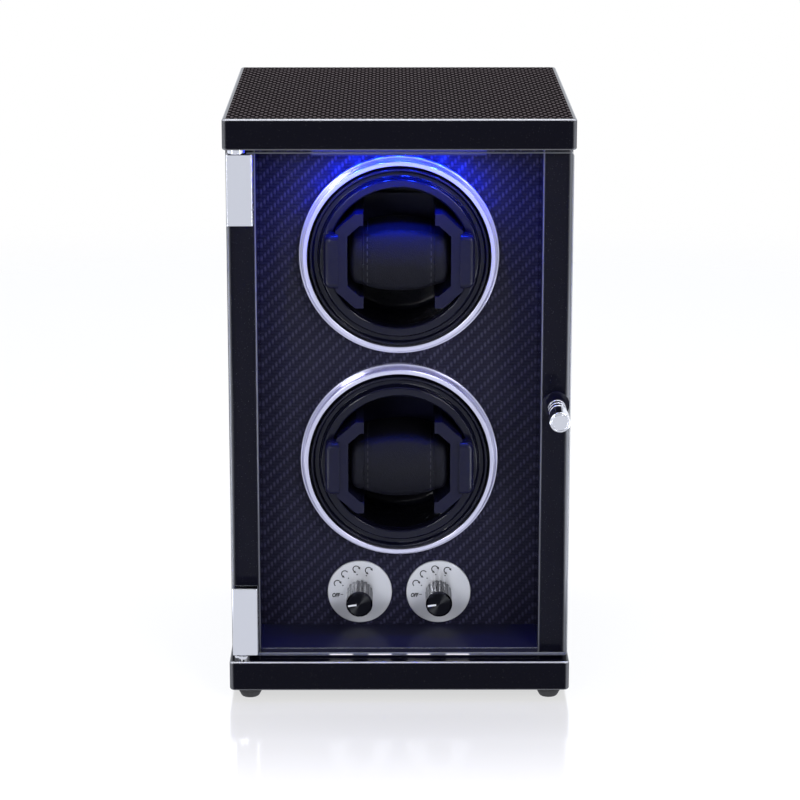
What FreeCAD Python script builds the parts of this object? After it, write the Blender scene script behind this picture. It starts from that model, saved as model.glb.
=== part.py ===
import FreeCAD, Part
import math
import os

# A glass-fronted watch winder cabinet with two turning watch cups, one above the other.
# Millimetres. X runs to the right, Y to the back and Z up, from the middle of the footprint.

# Slabs, walls and panels
slab_width = 180.0
slab_thickness = 16.0
slab_corner = 3.0               # upright corners of the slabs
slab_edge = 1.2                 # rounding along the slabs' edges
inlay_border = 2.0              # lacquered rim round the top inlay
inlay_thickness = 0.6
body_inset = 0.8                # walls stand in from the slabs' edges
wall_thickness = 15.5
wall_corner = 3.0               # outer upright edges of the walls
wall_arris = 1.5                # inner front edges of the walls
panel_thickness = 9.0
floor_thickness = 3.0
back_thickness = 5.0
back_recess = 1.7               # back panel lies inside the rear ends of the walls
back_rebate = 6.0               # ledge in each wall that the back panel screws to
back_gap = 0.2                  # back panel to its rebate and the slabs

# Screws
screw_radius = 1.5
screw_head_radius = 2.8
screw_head_height = 1.8
screw_bite = 8.0                # length of a wood screw in the piece that holds it
back_screw_margin = 18.0        # end screws of the back panel to the slabs
back_screws_per_side = 3
housing_screw_web = 3.6         # panel left in front of the drums' screws

# Feet
foot_height = 6.0
foot_wall = 3.0                 # rubber round the screw's pocket
foot_toe = 1.6                  # the foot narrows by this much towards the table
foot_rounding = 1.2
foot_inset = 10.5               # foot axis to the slab's edges
foot_recess = 3.0               # depth of the screw's pocket
foot_clearance = 0.4            # screw head to its pocket

# Door and hinges
glass_thickness = 4.0
glass_setback = 5.0             # glass behind the slabs' front
glass_gap = 1.8                 # glass to the slabs
glass_corner = 2.0
glass_arris = 0.5
door_left_inset = 1.0           # door's edges inside the walls' outer faces
door_right_inset = 0.2
hinge_offset = 5.2              # pivot axis to the door's left edge
swing_gap = 0.6                 # turning clamp corner to the wall
clamp_cheek = 2.0               # clamp in front of the glass and behind it
clamp_edge = 0.8
clamp_gap = 2.5                 # clamp end to the slab
clamp_core = 5.0                # solid end of the clamp beyond the pivot, in a notch of the glass
clamp_grip = 3.2                # clamp beyond its solid end
clamp_hold = 23.0               # length of the clamp that holds the glass
clamp_end_wall = 4.4            # solid end beyond the pivot's bore
core_gap = 0.3                  # notch to the core
grub_radius = 1.5
grub_clearance = 0.05
grub_recess = 0.2
grubs_per_clamp = 2
pivot_radius = 2.0
pivot_clearance = 0.05
pivot_length = 9.0
pivot_end_gap = 0.6
pivot_disc_radius = 4.5
pivot_gap = 0.3                 # pivot disc to the clamp
pivot_stub_radius = 3.0
pivot_stub_length = 6.0

# Door knob and catch
door_knob_radius = 5.3
door_knob_barrel = 4.7          # radius of the ringed barrel
door_knob_cap = 11.0            # length of the plain cap
door_knob_ring = 4.2            # length of one ring of the barrel
door_knob_ring_rounding = 0.9
door_knob_rings = 3
door_knob_groove = 1.2          # depth and width of the grooves between the rings
door_knob_base = 4.6            # plain end against the glass
door_knob_rounding = 0.6
door_knob_rim = 1.0             # rim round the disc of the cap's face
door_knob_line = 0.4            # depth and width of the line between the rim and the disc
door_knob_arris = 0.3           # rear edge of the cap
door_knob_inset = 7.4           # knob axis to the door's right edge
door_knob_rise = 1.5            # knob above the door's middle
knob_screw_bite = 9.0
knob_screw_clearance = 0.2
strike_radius = 7.0
strike_thickness = 2.0
catch_gap = 0.6                 # strike plate to the magnet
magnet_radius = 4.0
magnet_length = 10.4

# Light strip under the top slab
led_channel_wall = 1.2
led_channel_lip = 2.2           # channel's sides below the light chips
led_end_room = 11.6             # end chips to the channel's ends
led_to_panel = 22.0             # channel's back to the front panel
led_strip_thickness = 1.0
led_strip_margin = 0.8          # strip to the channel's sides and ends
led_strip_side = 0.5            # strip beside the chips
led_chip_size = 5.0
led_chip_height = 1.6
led_count = 4
led_pitch = 20.6

# Stack of the front panel, from the floor board up
plate_margin = 1.5              # selector plates to the floor board
plate_to_ring = 4.5
ring_gap = 6.0                  # lower ring to upper ring
ceiling_gap = 11.0              # upper ring to the top slab
panel_setback = 45.0            # glass to the front panel

# Turning cup and its bezel, radii from the cup's axis outwards
mouth_radius = 37.4
lip_width = 4.7
lip_groove = 3.3
lip_edge = 1.8
rotor_gap = 1.4                 # turning edge to the fixed ring
ring_bead = 2.4                 # flat inner face of the ring
ring_groove = 0.9
ring_band = 1.1
ring_sleeve = 1.8               # part of the ring inside the panel's hole
ring_height = 9.0               # ring in front of the panel
ring_band_height = 3.4
ring_groove_height = 1.5
ring_sleeve_gap = 0.5           # sleeve to the drum housing
bead_rounding = 0.35
band_rounding = 0.35
lip_reach = 11.5                # lip in front of the panel
groove_reach = 7.0
edge_reach = 9.8
lip_draft = 0.8                 # lip widens towards the groove
edge_draft = 0.5
mouth_rounding = 1.0
lip_rounding = 1.2
groove_rounding = 0.6
edge_rounding = 0.4
cup_step = 1.4                  # cup's outside beyond the lip
cup_wall = 2.5
cup_seat = 4.0                  # cup's front edge in front of the panel
rim_skirt = 3.0                 # rim behind the panel's front
cup_depth = 55.0                # cup's front edge to its floor
cup_floor = 3.0
cup_floor_rounding = 3.0
cup_rear_rounding = 2.0
cup_hub_wall = 6.0
cup_hub_length = 9.0
shaft_radius = 3.0

# Fixed drum behind the panel, with its bush
drum_gap = 2.0                  # turning cup to the drum
drum_wall = 2.0
drum_flange = 4.5
drum_flange_thickness = 3.0
drum_back = 3.0
drum_lug_radius = 5.0
drum_lugs = 4
drum_rounding = 2.0
drum_boss_wall = 3.5
drum_boss_length = 7.0
bush_wall = 1.97
bush_collar = 1.5               # bush flange beyond its sleeve
bush_flange = 1.7
bush_clearance = 0.03
thrust_gap = 0.3                # cup hub to the bush

# Belt drive and gear motor
belt_radius = 1.0
belt_gap = 0.3                  # belt to the walls of the grooves
groove_half_angle = 30.0
rotor_pulley_pitch = 22.0
drive_ratio = 4.0
pulley_rim = 1.2                # pulley outside the belt's line
pulley_width = 6.0
pulley_hub_wall = 5.0
pulley_hub_length = 10.0
pulley_gap = 1.0                # hub to the drum's boss
pulley_spacing = 6.0            # between the two pulleys' rims
spindle_radius = 1.5
spindle_clearance = 0.05
spindle_grip = 15.0             # spindle inside the gearbox
shaft_tail = 1.0                # shaft behind its pulley
mount_gap = 2.0                 # shaft's end to the mount plate
mount_thickness = 3.0
mount_margin = 6.0              # plate round its posts
mount_corner = 5.0
mount_post_radius = 3.0
mount_post_gap = 6.8            # posts at the left to the rotor pulley
mount_left_angle = 29.0         # posts from the plate's middle line
mount_right_angle = 40.0
mount_edge = 1.0                # plate beyond the gearbox
mount_boss_wall = 2.35
mount_boss_clearance = 0.1
gearbox_radius = 12.5
gearbox_length = 14.0
gearbox_rounding = 0.8
motor_rounding = 1.5
motor_radius = 11.8
motor_length = 28.0
motor_cap_radius = 4.0
motor_cap_length = 2.0
rear_room = 2.5                 # motor to the back panel

# Watch holder in each cup
tray_fit = 0.4                  # holder to the cup's mouth and floor
tray_side_angle = 25.5          # corners of the holder's octagon, from the level
tray_top_angle = 47.4
tray_top_drop = 3.3             # upper corners inside the mouth's circle
tray_corner = 1.0
tray_band = 6.2
tray_back = 6.0
tray_reach = 20.0               # holder in front of the panel
strap_slot = 37.6
ear_reach = 6.4                 # ears beyond the holder's sides
ear_overlap = 1.4               # ears over the holder's sides
ear_rise = 2.5                  # ears in front of the holder
ear_inset = 1.5                 # ears shorter than the holder's sides, at each end
ear_corner = 4.0
ear_gap = 1.0                   # ears to the cup's lip
ear_edge = 3.0                  # rounding of the ears' fronts
cushion_gap = 0.3
cushion_room = 1.4              # cushion's top to the holder's inner edge
cushion_crown = 3.5             # cushion in front of the holder
cushion_draw = 3.0              # ends drawn back from the crown
cushion_shoulder = 6.0
cushion_nose_rounding = 30.0
cushion_depth = 53.5
cushion_rounding = 4.0
cushion_sections = 5

# Mode selectors
plate_radius = 17.5
plate_thickness = 1.5
plate_bevel = 0.3
plate_gap = 7.8                 # between the two dial plates
switch_radius = 11.5
switch_length = 12.0
switch_rounding = 0.8
switch_bushing_wall = 0.95
switch_bushing_clearance = 0.1
switch_shaft_radius = 3.0
switch_shaft_clearance = 0.05
switch_shaft_depth = 7.0        # shaft inside the switch
switch_tab = (2.4, 6.0, 0.8)    # soldering tabs: width, length, thickness
switch_tabs = 3
nut_wall = 1.0                  # nut round the bushing, at its flats
nut_thickness = 2.0
nut_clearance = 0.43            # nut's corners to the knob's hollow
bushing_end = 1.5               # bushing in front of the nut
selector_knob_length = 21.0
selector_knob_gap = 1.5         # knob to its plate
selector_knob_face = 4.0        # solid end of the knob
selector_knob_bevel = 0.9
selector_knob_skirt = 0.9       # wall round the knob's hollow back
selector_knob_hollow = 3.5
flute_count = 18
flute_radius = 0.9
flute_depth = 0.5
pointer_width = 1.0
pointer_length = 4.6
pointer_depth = 0.5
pointer_angle = 8.5             # below the level, towards OFF

# Control board and power inlet
board_length = 70.0
board_depth = 50.0
board_thickness = 1.6
board_spacer_radius = 3.0
board_spacer_height = 6.0
board_hole_inset = 5.0
board_to_back = 30.0
chip_size = (16.0, 9.0, 2.4)    # width, depth, height
capacitor_radius = 4.0
capacitor_height = 11.0
plug_size = (10.0, 6.0, 7.0)
jack_height = 23.0              # inlet axis above the base slab
jack_radius = 4.0
jack_length = 17.0
jack_collar = 2.0               # flange beyond the barrel
jack_flange = 1.4
jack_rounding = 0.5
jack_nut_wall = 2.2
jack_nut = 2.0
jack_bore = 2.8
jack_bore_depth = 9.5
jack_pin = 1.05
jack_pin_rounding = 0.4
jack_pin_recess = 1.0           # pin's tip inside the flange

# Levels
base_low = foot_height
wall_low = base_low + slab_thickness
floor_top = wall_low + floor_thickness
selector_z = floor_top + plate_margin + plate_radius
ring_radius = (mouth_radius + lip_width + lip_groove + lip_edge + rotor_gap
               + ring_bead + ring_groove + ring_band)
lower_z = selector_z + plate_radius + plate_to_ring + ring_radius
upper_z = lower_z + 2 * ring_radius + ring_gap
wall_high = upper_z + ring_radius + ceiling_gap
top_z = wall_high + slab_thickness

# Places along a cup's axis, from the face of the front panel to the back
cup_front = -cup_seat
cup_inside = cup_front + cup_depth
cup_rear = cup_inside + cup_floor
hub_rear = cup_rear + cup_hub_length
bush_front = hub_rear + thrust_gap
drum_inside = bush_front + bush_flange
drum_rear = drum_inside + drum_back
boss_rear = drum_rear + drum_boss_length
pulley_front = boss_rear + pulley_gap
belt_line = pulley_front + pulley_gap + pulley_width / 2
pulley_rear = pulley_front + pulley_hub_length
shaft_rear = pulley_rear + shaft_tail
mount_front = shaft_rear + mount_gap
mount_rear = mount_front + mount_thickness
gearbox_rear = mount_rear + gearbox_length
motor_rear = gearbox_rear + motor_length
drive_rear = motor_rear + motor_cap_length
tray_front = -tray_reach
tray_rear = cup_inside - tray_fit

# Places in depth
cabinet_depth = (glass_setback + glass_thickness + panel_setback + drive_rear + rear_room
                 + back_thickness + back_recess + body_inset)
door_knob_length = (door_knob_cap + door_knob_rings * (door_knob_groove + door_knob_ring)
                    + door_knob_groove + door_knob_base)
knob_reach = door_knob_length - glass_setback
front_y = (knob_reach - cabinet_depth) / 2
rear_y = front_y + cabinet_depth
glass_front = front_y + glass_setback
glass_rear = glass_front + glass_thickness
hinge_y = glass_front + glass_thickness / 2
clamp_half = glass_thickness / 2 + clamp_cheek
core_width = hinge_offset + clamp_core
core_height = pivot_length + pivot_end_gap + clamp_end_wall
clamp_width = core_width + clamp_grip
clamp_height = core_height + clamp_hold
wall_front = hinge_y + math.hypot(hinge_offset, clamp_half) + swing_gap
wall_rear = rear_y - body_inset
back_rear = wall_rear - back_recess
back_front = back_rear - back_thickness
panel_front = glass_rear + panel_setback
panel_rear = panel_front + panel_thickness

# Places across
slab_half = slab_width / 2
body_half = slab_half - body_inset
inner_half = body_half - wall_thickness
back_half = inner_half + back_rebate - back_gap
back_screw_x = inner_half + back_rebate / 2
door_left = -body_half + door_left_inset
door_right = body_half - door_right_inset
hinge_x = door_left + hinge_offset
door_knob_x = door_right - door_knob_inset
door_knob_z = (wall_low + wall_high) / 2 + door_knob_rise
foot_pocket = screw_head_radius + foot_clearance
foot_radius = foot_pocket + foot_wall
foot_x = slab_half - foot_inset
foot_y = (front_y + foot_inset, rear_y - foot_inset)

# Radii of the cup, the ring and the drum
lip_radius = mouth_radius + lip_width
lip_groove_radius = lip_radius + lip_groove
rotor_radius = lip_groove_radius + lip_edge
ring_inner = rotor_radius + rotor_gap
bead_radius = ring_inner + ring_bead
ring_groove_radius = bead_radius + ring_groove
sleeve_radius = ring_inner + ring_sleeve
cup_radius = lip_radius + cup_step
cup_hub_radius = shaft_radius + cup_hub_wall
bush_bore = shaft_radius + bush_clearance
bush_radius = bush_bore + bush_wall
drum_inner = cup_radius + drum_gap
drum_radius = drum_inner + drum_wall
drum_flange_radius = drum_radius + drum_flange
drum_lug_place = drum_flange_radius + drum_lug_radius

# Light channel
led_channel_depth = led_chip_size + 2 * (led_strip_side + led_strip_margin + led_channel_wall)
led_channel_height = led_channel_wall + led_strip_thickness + led_chip_height + led_channel_lip
led_channel_length = led_pitch * (led_count - 1) + led_chip_size + 2 * led_end_room

# Belt drive
pulley_hub_radius = shaft_radius + pulley_hub_wall
spindle_bore = spindle_radius + spindle_clearance
mount_boss_radius = spindle_bore + mount_boss_wall
motor_pulley_pitch = rotor_pulley_pitch / drive_ratio
rotor_pulley_radius = rotor_pulley_pitch + pulley_rim
motor_pulley_radius = motor_pulley_pitch + pulley_rim
motor_x = rotor_pulley_radius + motor_pulley_radius + pulley_spacing

# Holder's octagon: one side corner and one top corner, from the cup's axis
tray_side_x = (mouth_radius - tray_fit) * math.cos(math.radians(tray_side_angle))
tray_side_z = (mouth_radius - tray_fit) * math.sin(math.radians(tray_side_angle))
tray_top_x = (mouth_radius - tray_top_drop) * math.cos(math.radians(tray_top_angle))
tray_top_z = (mouth_radius - tray_top_drop) * math.sin(math.radians(tray_top_angle))

# Selectors
selector_spacing = 2 * plate_radius + plate_gap
switch_bore = switch_shaft_radius + switch_shaft_clearance
switch_bushing_radius = switch_bore + switch_bushing_wall
nut_corner = (switch_bushing_radius + nut_wall) * 2 / math.sqrt(3.0)
selector_knob_inner = nut_corner + nut_clearance
selector_knob_radius = selector_knob_inner + selector_knob_skirt
plate_front = panel_front - plate_thickness
nut_front = plate_front - nut_thickness
bushing_front = nut_front - bushing_end
knob_rear = plate_front - selector_knob_gap
knob_front = knob_rear - selector_knob_length
knob_bore_end = knob_front + selector_knob_face
switch_rear = panel_rear + switch_length
shaft_end = panel_rear + switch_shaft_depth

ORIGIN = FreeCAD.Vector(0, 0, 0)
X = FreeCAD.Vector(1, 0, 0)
Y = FreeCAD.Vector(0, 1, 0)
Z = FreeCAD.Vector(0, 0, 1)
PLAN = (X, Y, Z)                # drawn from above, built upwards
FACE = (X, Z, Y)                # drawn from the front, built backwards
SIDE = (Y, Z, X)                # drawn from the side, built to the right
LEVELS = {"upper": upper_z, "lower": lower_z}
SIDES = {"left": -1, "right": 1}


def outline(corners, plane):
    """Closed wire through corners (u, v) or (u, v, rounding) in a plane."""
    points = [plane[0] * corner[0] + plane[1] * corner[1] for corner in corners]
    edges = []
    bends = []
    for place, corner in enumerate(corners):
        rounding = corner[2] if len(corner) > 2 else 0.0
        after = points[(place + 1) % len(points)]
        bends.append(bend(points[place - 1], points[place], after, rounding))
    for place, (start, middle, end) in enumerate(bends):
        last_end = bends[place - 1][2]
        if last_end.distanceToPoint(start) > 1e-6:
            edges.append(Part.LineSegment(last_end, start).toShape())
        if middle is not None:
            edges.append(Part.Arc(start, middle, end).toShape())
    return Part.Wire(edges)


def bend(before, corner, after, rounding):
    """Start, middle and end of the arc that rounds a corner."""
    if rounding <= 0:
        return corner, None, corner
    back = (before - corner).normalize()
    ahead = (after - corner).normalize()
    half_angle = back.getAngle(ahead) / 2
    reach = rounding / math.tan(half_angle)
    inwards = (back + ahead).normalize()
    middle = corner + inwards * (rounding / math.sin(half_angle) - rounding)
    return corner + back * reach, middle, corner + ahead * reach


def outward(solid):
    """The solid with its faces turned outwards."""
    if solid.Volume < 0:
        solid.reverse()
    return solid


def prism(corners, plane, low, high):
    """Outline drawn out along the plane's normal, from low to high."""
    face = Part.Face(outline(corners, plane))
    face.translate(plane[2] * low)
    return outward(face.extrude(plane[2] * (high - low)))


def turned(profile, axis=Y):
    """Solid turned about an axis from corners (radius, place along the axis, rounding)."""
    face = Part.Face(outline(profile, (X, axis, ORIGIN)))
    return outward(face.revolve(ORIGIN, axis, 360))


def block(x, y, z):
    """Box between the low and high values of each pair."""
    corner = FreeCAD.Vector(x[0], y[0], z[0])
    return Part.makeBox(x[1] - x[0], y[1] - y[0], z[1] - z[0], corner)


def rod(radius, low, high, x=0.0, z=0.0):
    """Cylinder along Y."""
    return Part.makeCylinder(radius, high - low, FreeCAD.Vector(x, low, z), Y)


def post(radius, low, high, x=0.0, y=0.0):
    """Cylinder along Z."""
    return Part.makeCylinder(radius, high - low, FreeCAD.Vector(x, y, low), Z)


def rectangle(u_low, u_high, v_low, v_high, rounding=0.0):
    """Corners of a rectangle, all with one rounding."""
    return [(u_low, v_low, rounding), (u_high, v_low, rounding),
            (u_high, v_high, rounding), (u_low, v_high, rounding)]


def level_edges(solid, *heights):
    """Edges that lie flat at any of the heights."""
    flat = [edge for edge in solid.Edges if edge.BoundBox.ZLength < 0.001]
    return [edge for edge in flat for height in heights if abs(edge.CenterOfMass.z - height) < 0.001]


def front_edges(solid, *depths):
    """Edges that lie in an upright plane at any of the depths."""
    flat = [edge for edge in solid.Edges if edge.BoundBox.YLength < 0.001]
    return [edge for edge in flat for depth in depths if abs(edge.CenterOfMass.y - depth) < 0.001]


def moved(shape, x=0.0, y=0.0, z=0.0):
    """Copy of a shape, moved."""
    return shape.translated(FreeCAD.Vector(x, y, z))


def slab(low, high):
    """Lacquered slab with rounded corners and edges."""
    plan = rectangle(-slab_half, slab_half, front_y, rear_y, slab_corner)
    solid = prism(plan, PLAN, low, high)
    return solid.makeFillet(slab_edge, level_edges(solid, low, high))


def top_inlay():
    """Textured sheet let into the top slab."""
    reach = slab_half - inlay_border
    plan = rectangle(-reach, reach, front_y + inlay_border, rear_y - inlay_border,
                     slab_corner - inlay_border)
    return prism(plan, PLAN, top_z - inlay_thickness, top_z)


def top_slab():
    socket = post(pivot_stub_radius, wall_high, wall_high + pivot_stub_length, hinge_x, hinge_y)
    return slab(wall_high, top_z).cut([top_inlay(), socket])


def base_slab():
    socket = post(pivot_stub_radius, wall_low - pivot_stub_length, wall_low, hinge_x, hinge_y)
    holes = [post(screw_radius, base_low, base_low + screw_bite, x, y) for x, y in foot_places()]
    return slab(base_low, wall_low).cut([socket] + holes)


def foot_places():
    return [(side * foot_x, y) for side in SIDES.values() for y in foot_y]


def feet():
    """Rubber feet with a pocket for the screw, flat where they stand."""
    toe = foot_radius - foot_toe
    profile = [(foot_pocket, 0), (toe, 0, foot_rounding), (foot_radius, foot_height / 2, foot_rounding),
               (foot_radius, foot_height), (screw_radius, foot_height), (screw_radius, foot_recess),
               (foot_pocket, foot_recess)]
    return [moved(turned(profile, Z), x, y) for x, y in foot_places()]


def foot_screws():
    screw = post(screw_radius, foot_recess, base_low + screw_bite).fuse(
        post(screw_head_radius, foot_recess - screw_head_height, foot_recess))
    return [moved(screw.removeSplitter(), x, y) for x, y in foot_places()]


def wall(side):
    """Side wall with a rebate for the back panel; side is -1 on the left and 1 on the right."""
    inner = side * inner_half
    outer = side * body_half
    ledge = side * (inner_half + back_rebate)
    plan = [(inner, wall_front, wall_arris), (outer, wall_front, wall_corner),
            (outer, wall_rear, wall_corner), (ledge, wall_rear), (ledge, back_front), (inner, back_front)]
    holes = [rod(screw_radius, back_front - screw_bite, back_front, side * back_screw_x, z)
             for z in back_screw_heights()]
    return prism(plan, PLAN, wall_low, wall_high).cut(holes)


def right_wall():
    return wall(1).cut(catch_magnet())


def catch_magnet():
    start = glass_rear + strike_thickness + catch_gap
    return rod(magnet_radius, start, start + magnet_length, door_knob_x, door_knob_z)


def back_screw_heights():
    low = wall_low + back_screw_margin
    step = (wall_high - back_screw_margin - low) / (back_screws_per_side - 1)
    return [low + step * place for place in range(back_screws_per_side)]


def countersunk(rear, bite):
    """Countersunk screw along Y with its head flush at the rear."""
    head = screw_head_radius - screw_radius
    return turned([(0, rear), (screw_head_radius, rear), (screw_radius, rear - head),
                   (screw_radius, rear - bite), (0, rear - bite)])


def back_screws():
    screw = countersunk(back_rear, back_thickness + screw_bite)
    return [moved(screw, side * back_screw_x, 0, z)
            for side in SIDES.values() for z in back_screw_heights()]


def back_panel():
    low = wall_low + back_gap
    high = wall_high - back_gap
    sheet = block((-back_half, back_half), (back_front, back_rear), (low, high))
    inlet = rod(jack_radius, back_front, back_rear, 0, wall_low + jack_height)
    return sheet.cut(back_screws() + [inlet])


def front_panel():
    """Panel that carries the rings, the drums and the selectors."""
    sheet = block((-inner_half, inner_half), (panel_front, panel_rear), (wall_low, wall_high))
    hole = switch_bushing_radius + switch_bushing_clearance
    cuts = [rod(sleeve_radius, panel_front, panel_rear, 0, z) for z in LEVELS.values()]
    cuts += [rod(hole, panel_front, panel_rear, x, selector_z) for x in selector_places().values()]
    return sheet.cut(cuts + housing_screws())


def floor_board():
    return block((-inner_half, inner_half), (wall_front, panel_front), (wall_low, floor_top))


def led_span():
    rear = panel_front - led_to_panel
    return rear - led_channel_depth, rear


def led_channel():
    """Channel open downwards."""
    half = led_channel_length / 2
    front, rear = led_span()
    low = wall_high - led_channel_height
    roof = wall_high - led_channel_wall
    hollow = block((-half, half), (front + led_channel_wall, rear - led_channel_wall), (low, roof))
    return block((-half, half), (front, rear), (low, wall_high)).cut(hollow)


def led_strip():
    half = led_channel_length / 2 - led_strip_margin
    front, rear = led_span()
    margin = led_channel_wall + led_strip_margin
    roof = wall_high - led_channel_wall
    return block((-half, half), (front + margin, rear - margin), (roof - led_strip_thickness, roof))


def led_chips():
    middle = sum(led_span()) / 2
    high = wall_high - led_channel_wall - led_strip_thickness
    half = led_chip_size / 2
    first = -led_pitch * (led_count - 1) / 2
    chips = []
    for place in range(led_count):
        x = first + led_pitch * place
        chips.append(block((x - half, x + half), (middle - half, middle + half),
                           (high - led_chip_height, high)))
    return chips


def bezel_ring():
    """Fixed chrome ring: a bead, a groove and a band, with a sleeve in the panel's hole."""
    sleeve_end = panel_thickness - ring_sleeve_gap
    return turned([(ring_inner, sleeve_end), (ring_inner, -ring_height, bead_rounding),
                   (bead_radius, -ring_height, bead_rounding), (bead_radius, -ring_groove_height),
                   (ring_groove_radius, -ring_groove_height),
                   (ring_groove_radius, -ring_band_height, band_rounding),
                   (ring_radius, -ring_band_height, band_rounding), (ring_radius, 0),
                   (sleeve_radius, 0), (sleeve_radius, sleeve_end)])


def rotor_rim():
    """Turning rim: a lip round the mouth, a groove and a thin outer edge."""
    return turned([(mouth_radius, -lip_reach, mouth_rounding), (lip_radius, -lip_reach, lip_rounding),
                   (lip_radius + lip_draft, -groove_reach, groove_rounding),
                   (lip_groove_radius, -groove_reach, groove_rounding),
                   (lip_groove_radius + edge_draft, -edge_reach, edge_rounding),
                   (rotor_radius, -edge_reach, edge_rounding), (rotor_radius, rim_skirt),
                   (cup_radius, rim_skirt), (cup_radius, cup_front),
                   (mouth_radius, cup_front)])


def rotor_cup():
    """Deep cup with a hub on its floor for the shaft."""
    inner = cup_radius - cup_wall
    return turned([(inner, cup_front), (cup_radius, cup_front), (cup_radius, cup_rear, cup_rear_rounding),
                   (cup_hub_radius, cup_rear), (cup_hub_radius, hub_rear), (shaft_radius, hub_rear),
                   (shaft_radius, cup_inside), (inner, cup_inside, cup_floor_rounding)])


def rotor_shaft():
    return rod(shaft_radius, cup_inside, shaft_rear)


def drum_housing():
    """Fixed drum round the cup, screwed to the panel by four lugs."""
    flange_rear = panel_thickness + drum_flange_thickness
    boss_radius = bush_radius + drum_boss_wall
    drum = turned([(drum_inner, panel_thickness), (drum_flange_radius, panel_thickness),
                   (drum_flange_radius, flange_rear), (drum_radius, flange_rear),
                   (drum_radius, drum_rear, drum_rounding), (boss_radius, drum_rear),
                   (boss_radius, boss_rear), (bush_radius, boss_rear),
                   (bush_radius, drum_inside), (drum_inner, drum_inside)])
    arm = block((drum_radius, drum_lug_place), (panel_thickness, flange_rear),
                (-drum_lug_radius, drum_lug_radius))
    lug = arm.fuse(rod(drum_lug_radius, panel_thickness, flange_rear, drum_lug_place))
    lugs = [round_axis(lug, angle) for angle in lug_angles()]
    holes = [round_axis(rod(screw_radius, panel_thickness, flange_rear, drum_lug_place), angle)
             for angle in lug_angles()]
    return drum.fuse(lugs).removeSplitter().cut(holes)


def lug_angles():
    return [360.0 * (place + 0.5) / drum_lugs for place in range(drum_lugs)]


def round_axis(shape, angle):
    """Copy of a shape, turned about the cup's axis."""
    copy = shape.copy()
    copy.rotate(ORIGIN, Y, angle)
    return copy


def housing_screws():
    """Round-headed screws through the drums' lugs, in place."""
    seat = panel_thickness + drum_flange_thickness
    shank = rod(screw_radius, housing_screw_web, seat, drum_lug_place)
    head = rod(screw_head_radius, seat, seat + screw_head_height, drum_lug_place)
    screw = shank.fuse(head).removeSplitter()
    screws = [round_axis(screw, angle) for angle in lug_angles()]
    return [moved(item, 0, panel_front, z) for z in LEVELS.values() for item in screws]


def shaft_bush():
    collar = bush_radius + bush_collar
    return turned([(bush_bore, bush_front), (collar, bush_front), (collar, drum_inside),
                   (bush_radius, drum_inside), (bush_radius, boss_rear), (bush_bore, boss_rear)])


def belt_groove(pitch, outer):
    """Corners of a V groove that clears the belt, from front to back."""
    slope = math.radians(groove_half_angle)
    room = belt_radius + belt_gap
    bottom = pitch - room
    half_at_pitch = room / math.cos(slope)
    half_bottom = half_at_pitch - room * math.tan(slope)
    half_top = half_at_pitch + (outer - pitch) * math.tan(slope)
    return [(outer, belt_line - half_top), (bottom, belt_line - half_bottom),
            (bottom, belt_line + half_bottom), (outer, belt_line + half_top)]


def rotor_pulley():
    front = belt_line - pulley_width / 2
    rear = belt_line + pulley_width / 2
    groove = belt_groove(rotor_pulley_pitch, rotor_pulley_radius)
    before = [(shaft_radius, pulley_front), (pulley_hub_radius, pulley_front), (pulley_hub_radius, front),
              (rotor_pulley_radius, front)]
    after = [(rotor_pulley_radius, rear), (pulley_hub_radius, rear), (pulley_hub_radius, pulley_rear),
             (shaft_radius, pulley_rear)]
    return turned(before + groove + after)


def motor_pulley():
    """Small pulley and the gearbox spindle that it is pressed on."""
    front = belt_line - pulley_width / 2
    rear = belt_line + pulley_width / 2
    groove = belt_groove(motor_pulley_pitch, motor_pulley_radius)
    pulley = turned([(spindle_radius, front), (motor_pulley_radius, front)] + groove
                    + [(motor_pulley_radius, rear), (spindle_radius, rear)])
    spindle = rod(spindle_radius, front, mount_front + spindle_grip)
    return [moved(pulley, motor_x), moved(spindle, motor_x)]


def drive_belt():
    """Round belt: two arcs on the pulleys and the two straight runs between them."""
    lean = math.asin((rotor_pulley_pitch - motor_pulley_pitch) / motor_x)
    ends = []
    for pitch, x in ((rotor_pulley_pitch, 0.0), (motor_pulley_pitch, motor_x)):
        reach = FreeCAD.Vector(x + pitch * math.sin(lean), belt_line, pitch * math.cos(lean))
        ends.append(reach)
    large, small = ends
    large_low = FreeCAD.Vector(large.x, large.y, -large.z)
    small_low = FreeCAD.Vector(small.x, small.y, -small.z)
    far_left = FreeCAD.Vector(-rotor_pulley_pitch, belt_line, 0)
    far_right = FreeCAD.Vector(motor_x + motor_pulley_pitch, belt_line, 0)
    path = Part.Wire([Part.LineSegment(large, small).toShape(),
                      Part.Arc(small, far_right, small_low).toShape(),
                      Part.LineSegment(small_low, large_low).toShape(),
                      Part.Arc(large_low, far_left, large).toShape()])
    section = Part.Wire(Part.makeCircle(belt_radius, large, small - large))
    return outward(path.makePipeShell([section], True, False))


def mount_posts():
    """Post centres from the cup's axis: two left of the pulley and two by the motor."""
    left = rotor_pulley_radius + mount_post_radius + mount_post_gap
    right = drum_radius - mount_post_radius - mount_post_gap / 2
    angles = ((-left, mount_left_angle), (right, mount_right_angle))
    return [(radius * math.cos(math.radians(angle)), side * abs(radius) * math.sin(math.radians(angle)))
            for radius, angle in angles for side in (-1, 1)]


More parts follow.
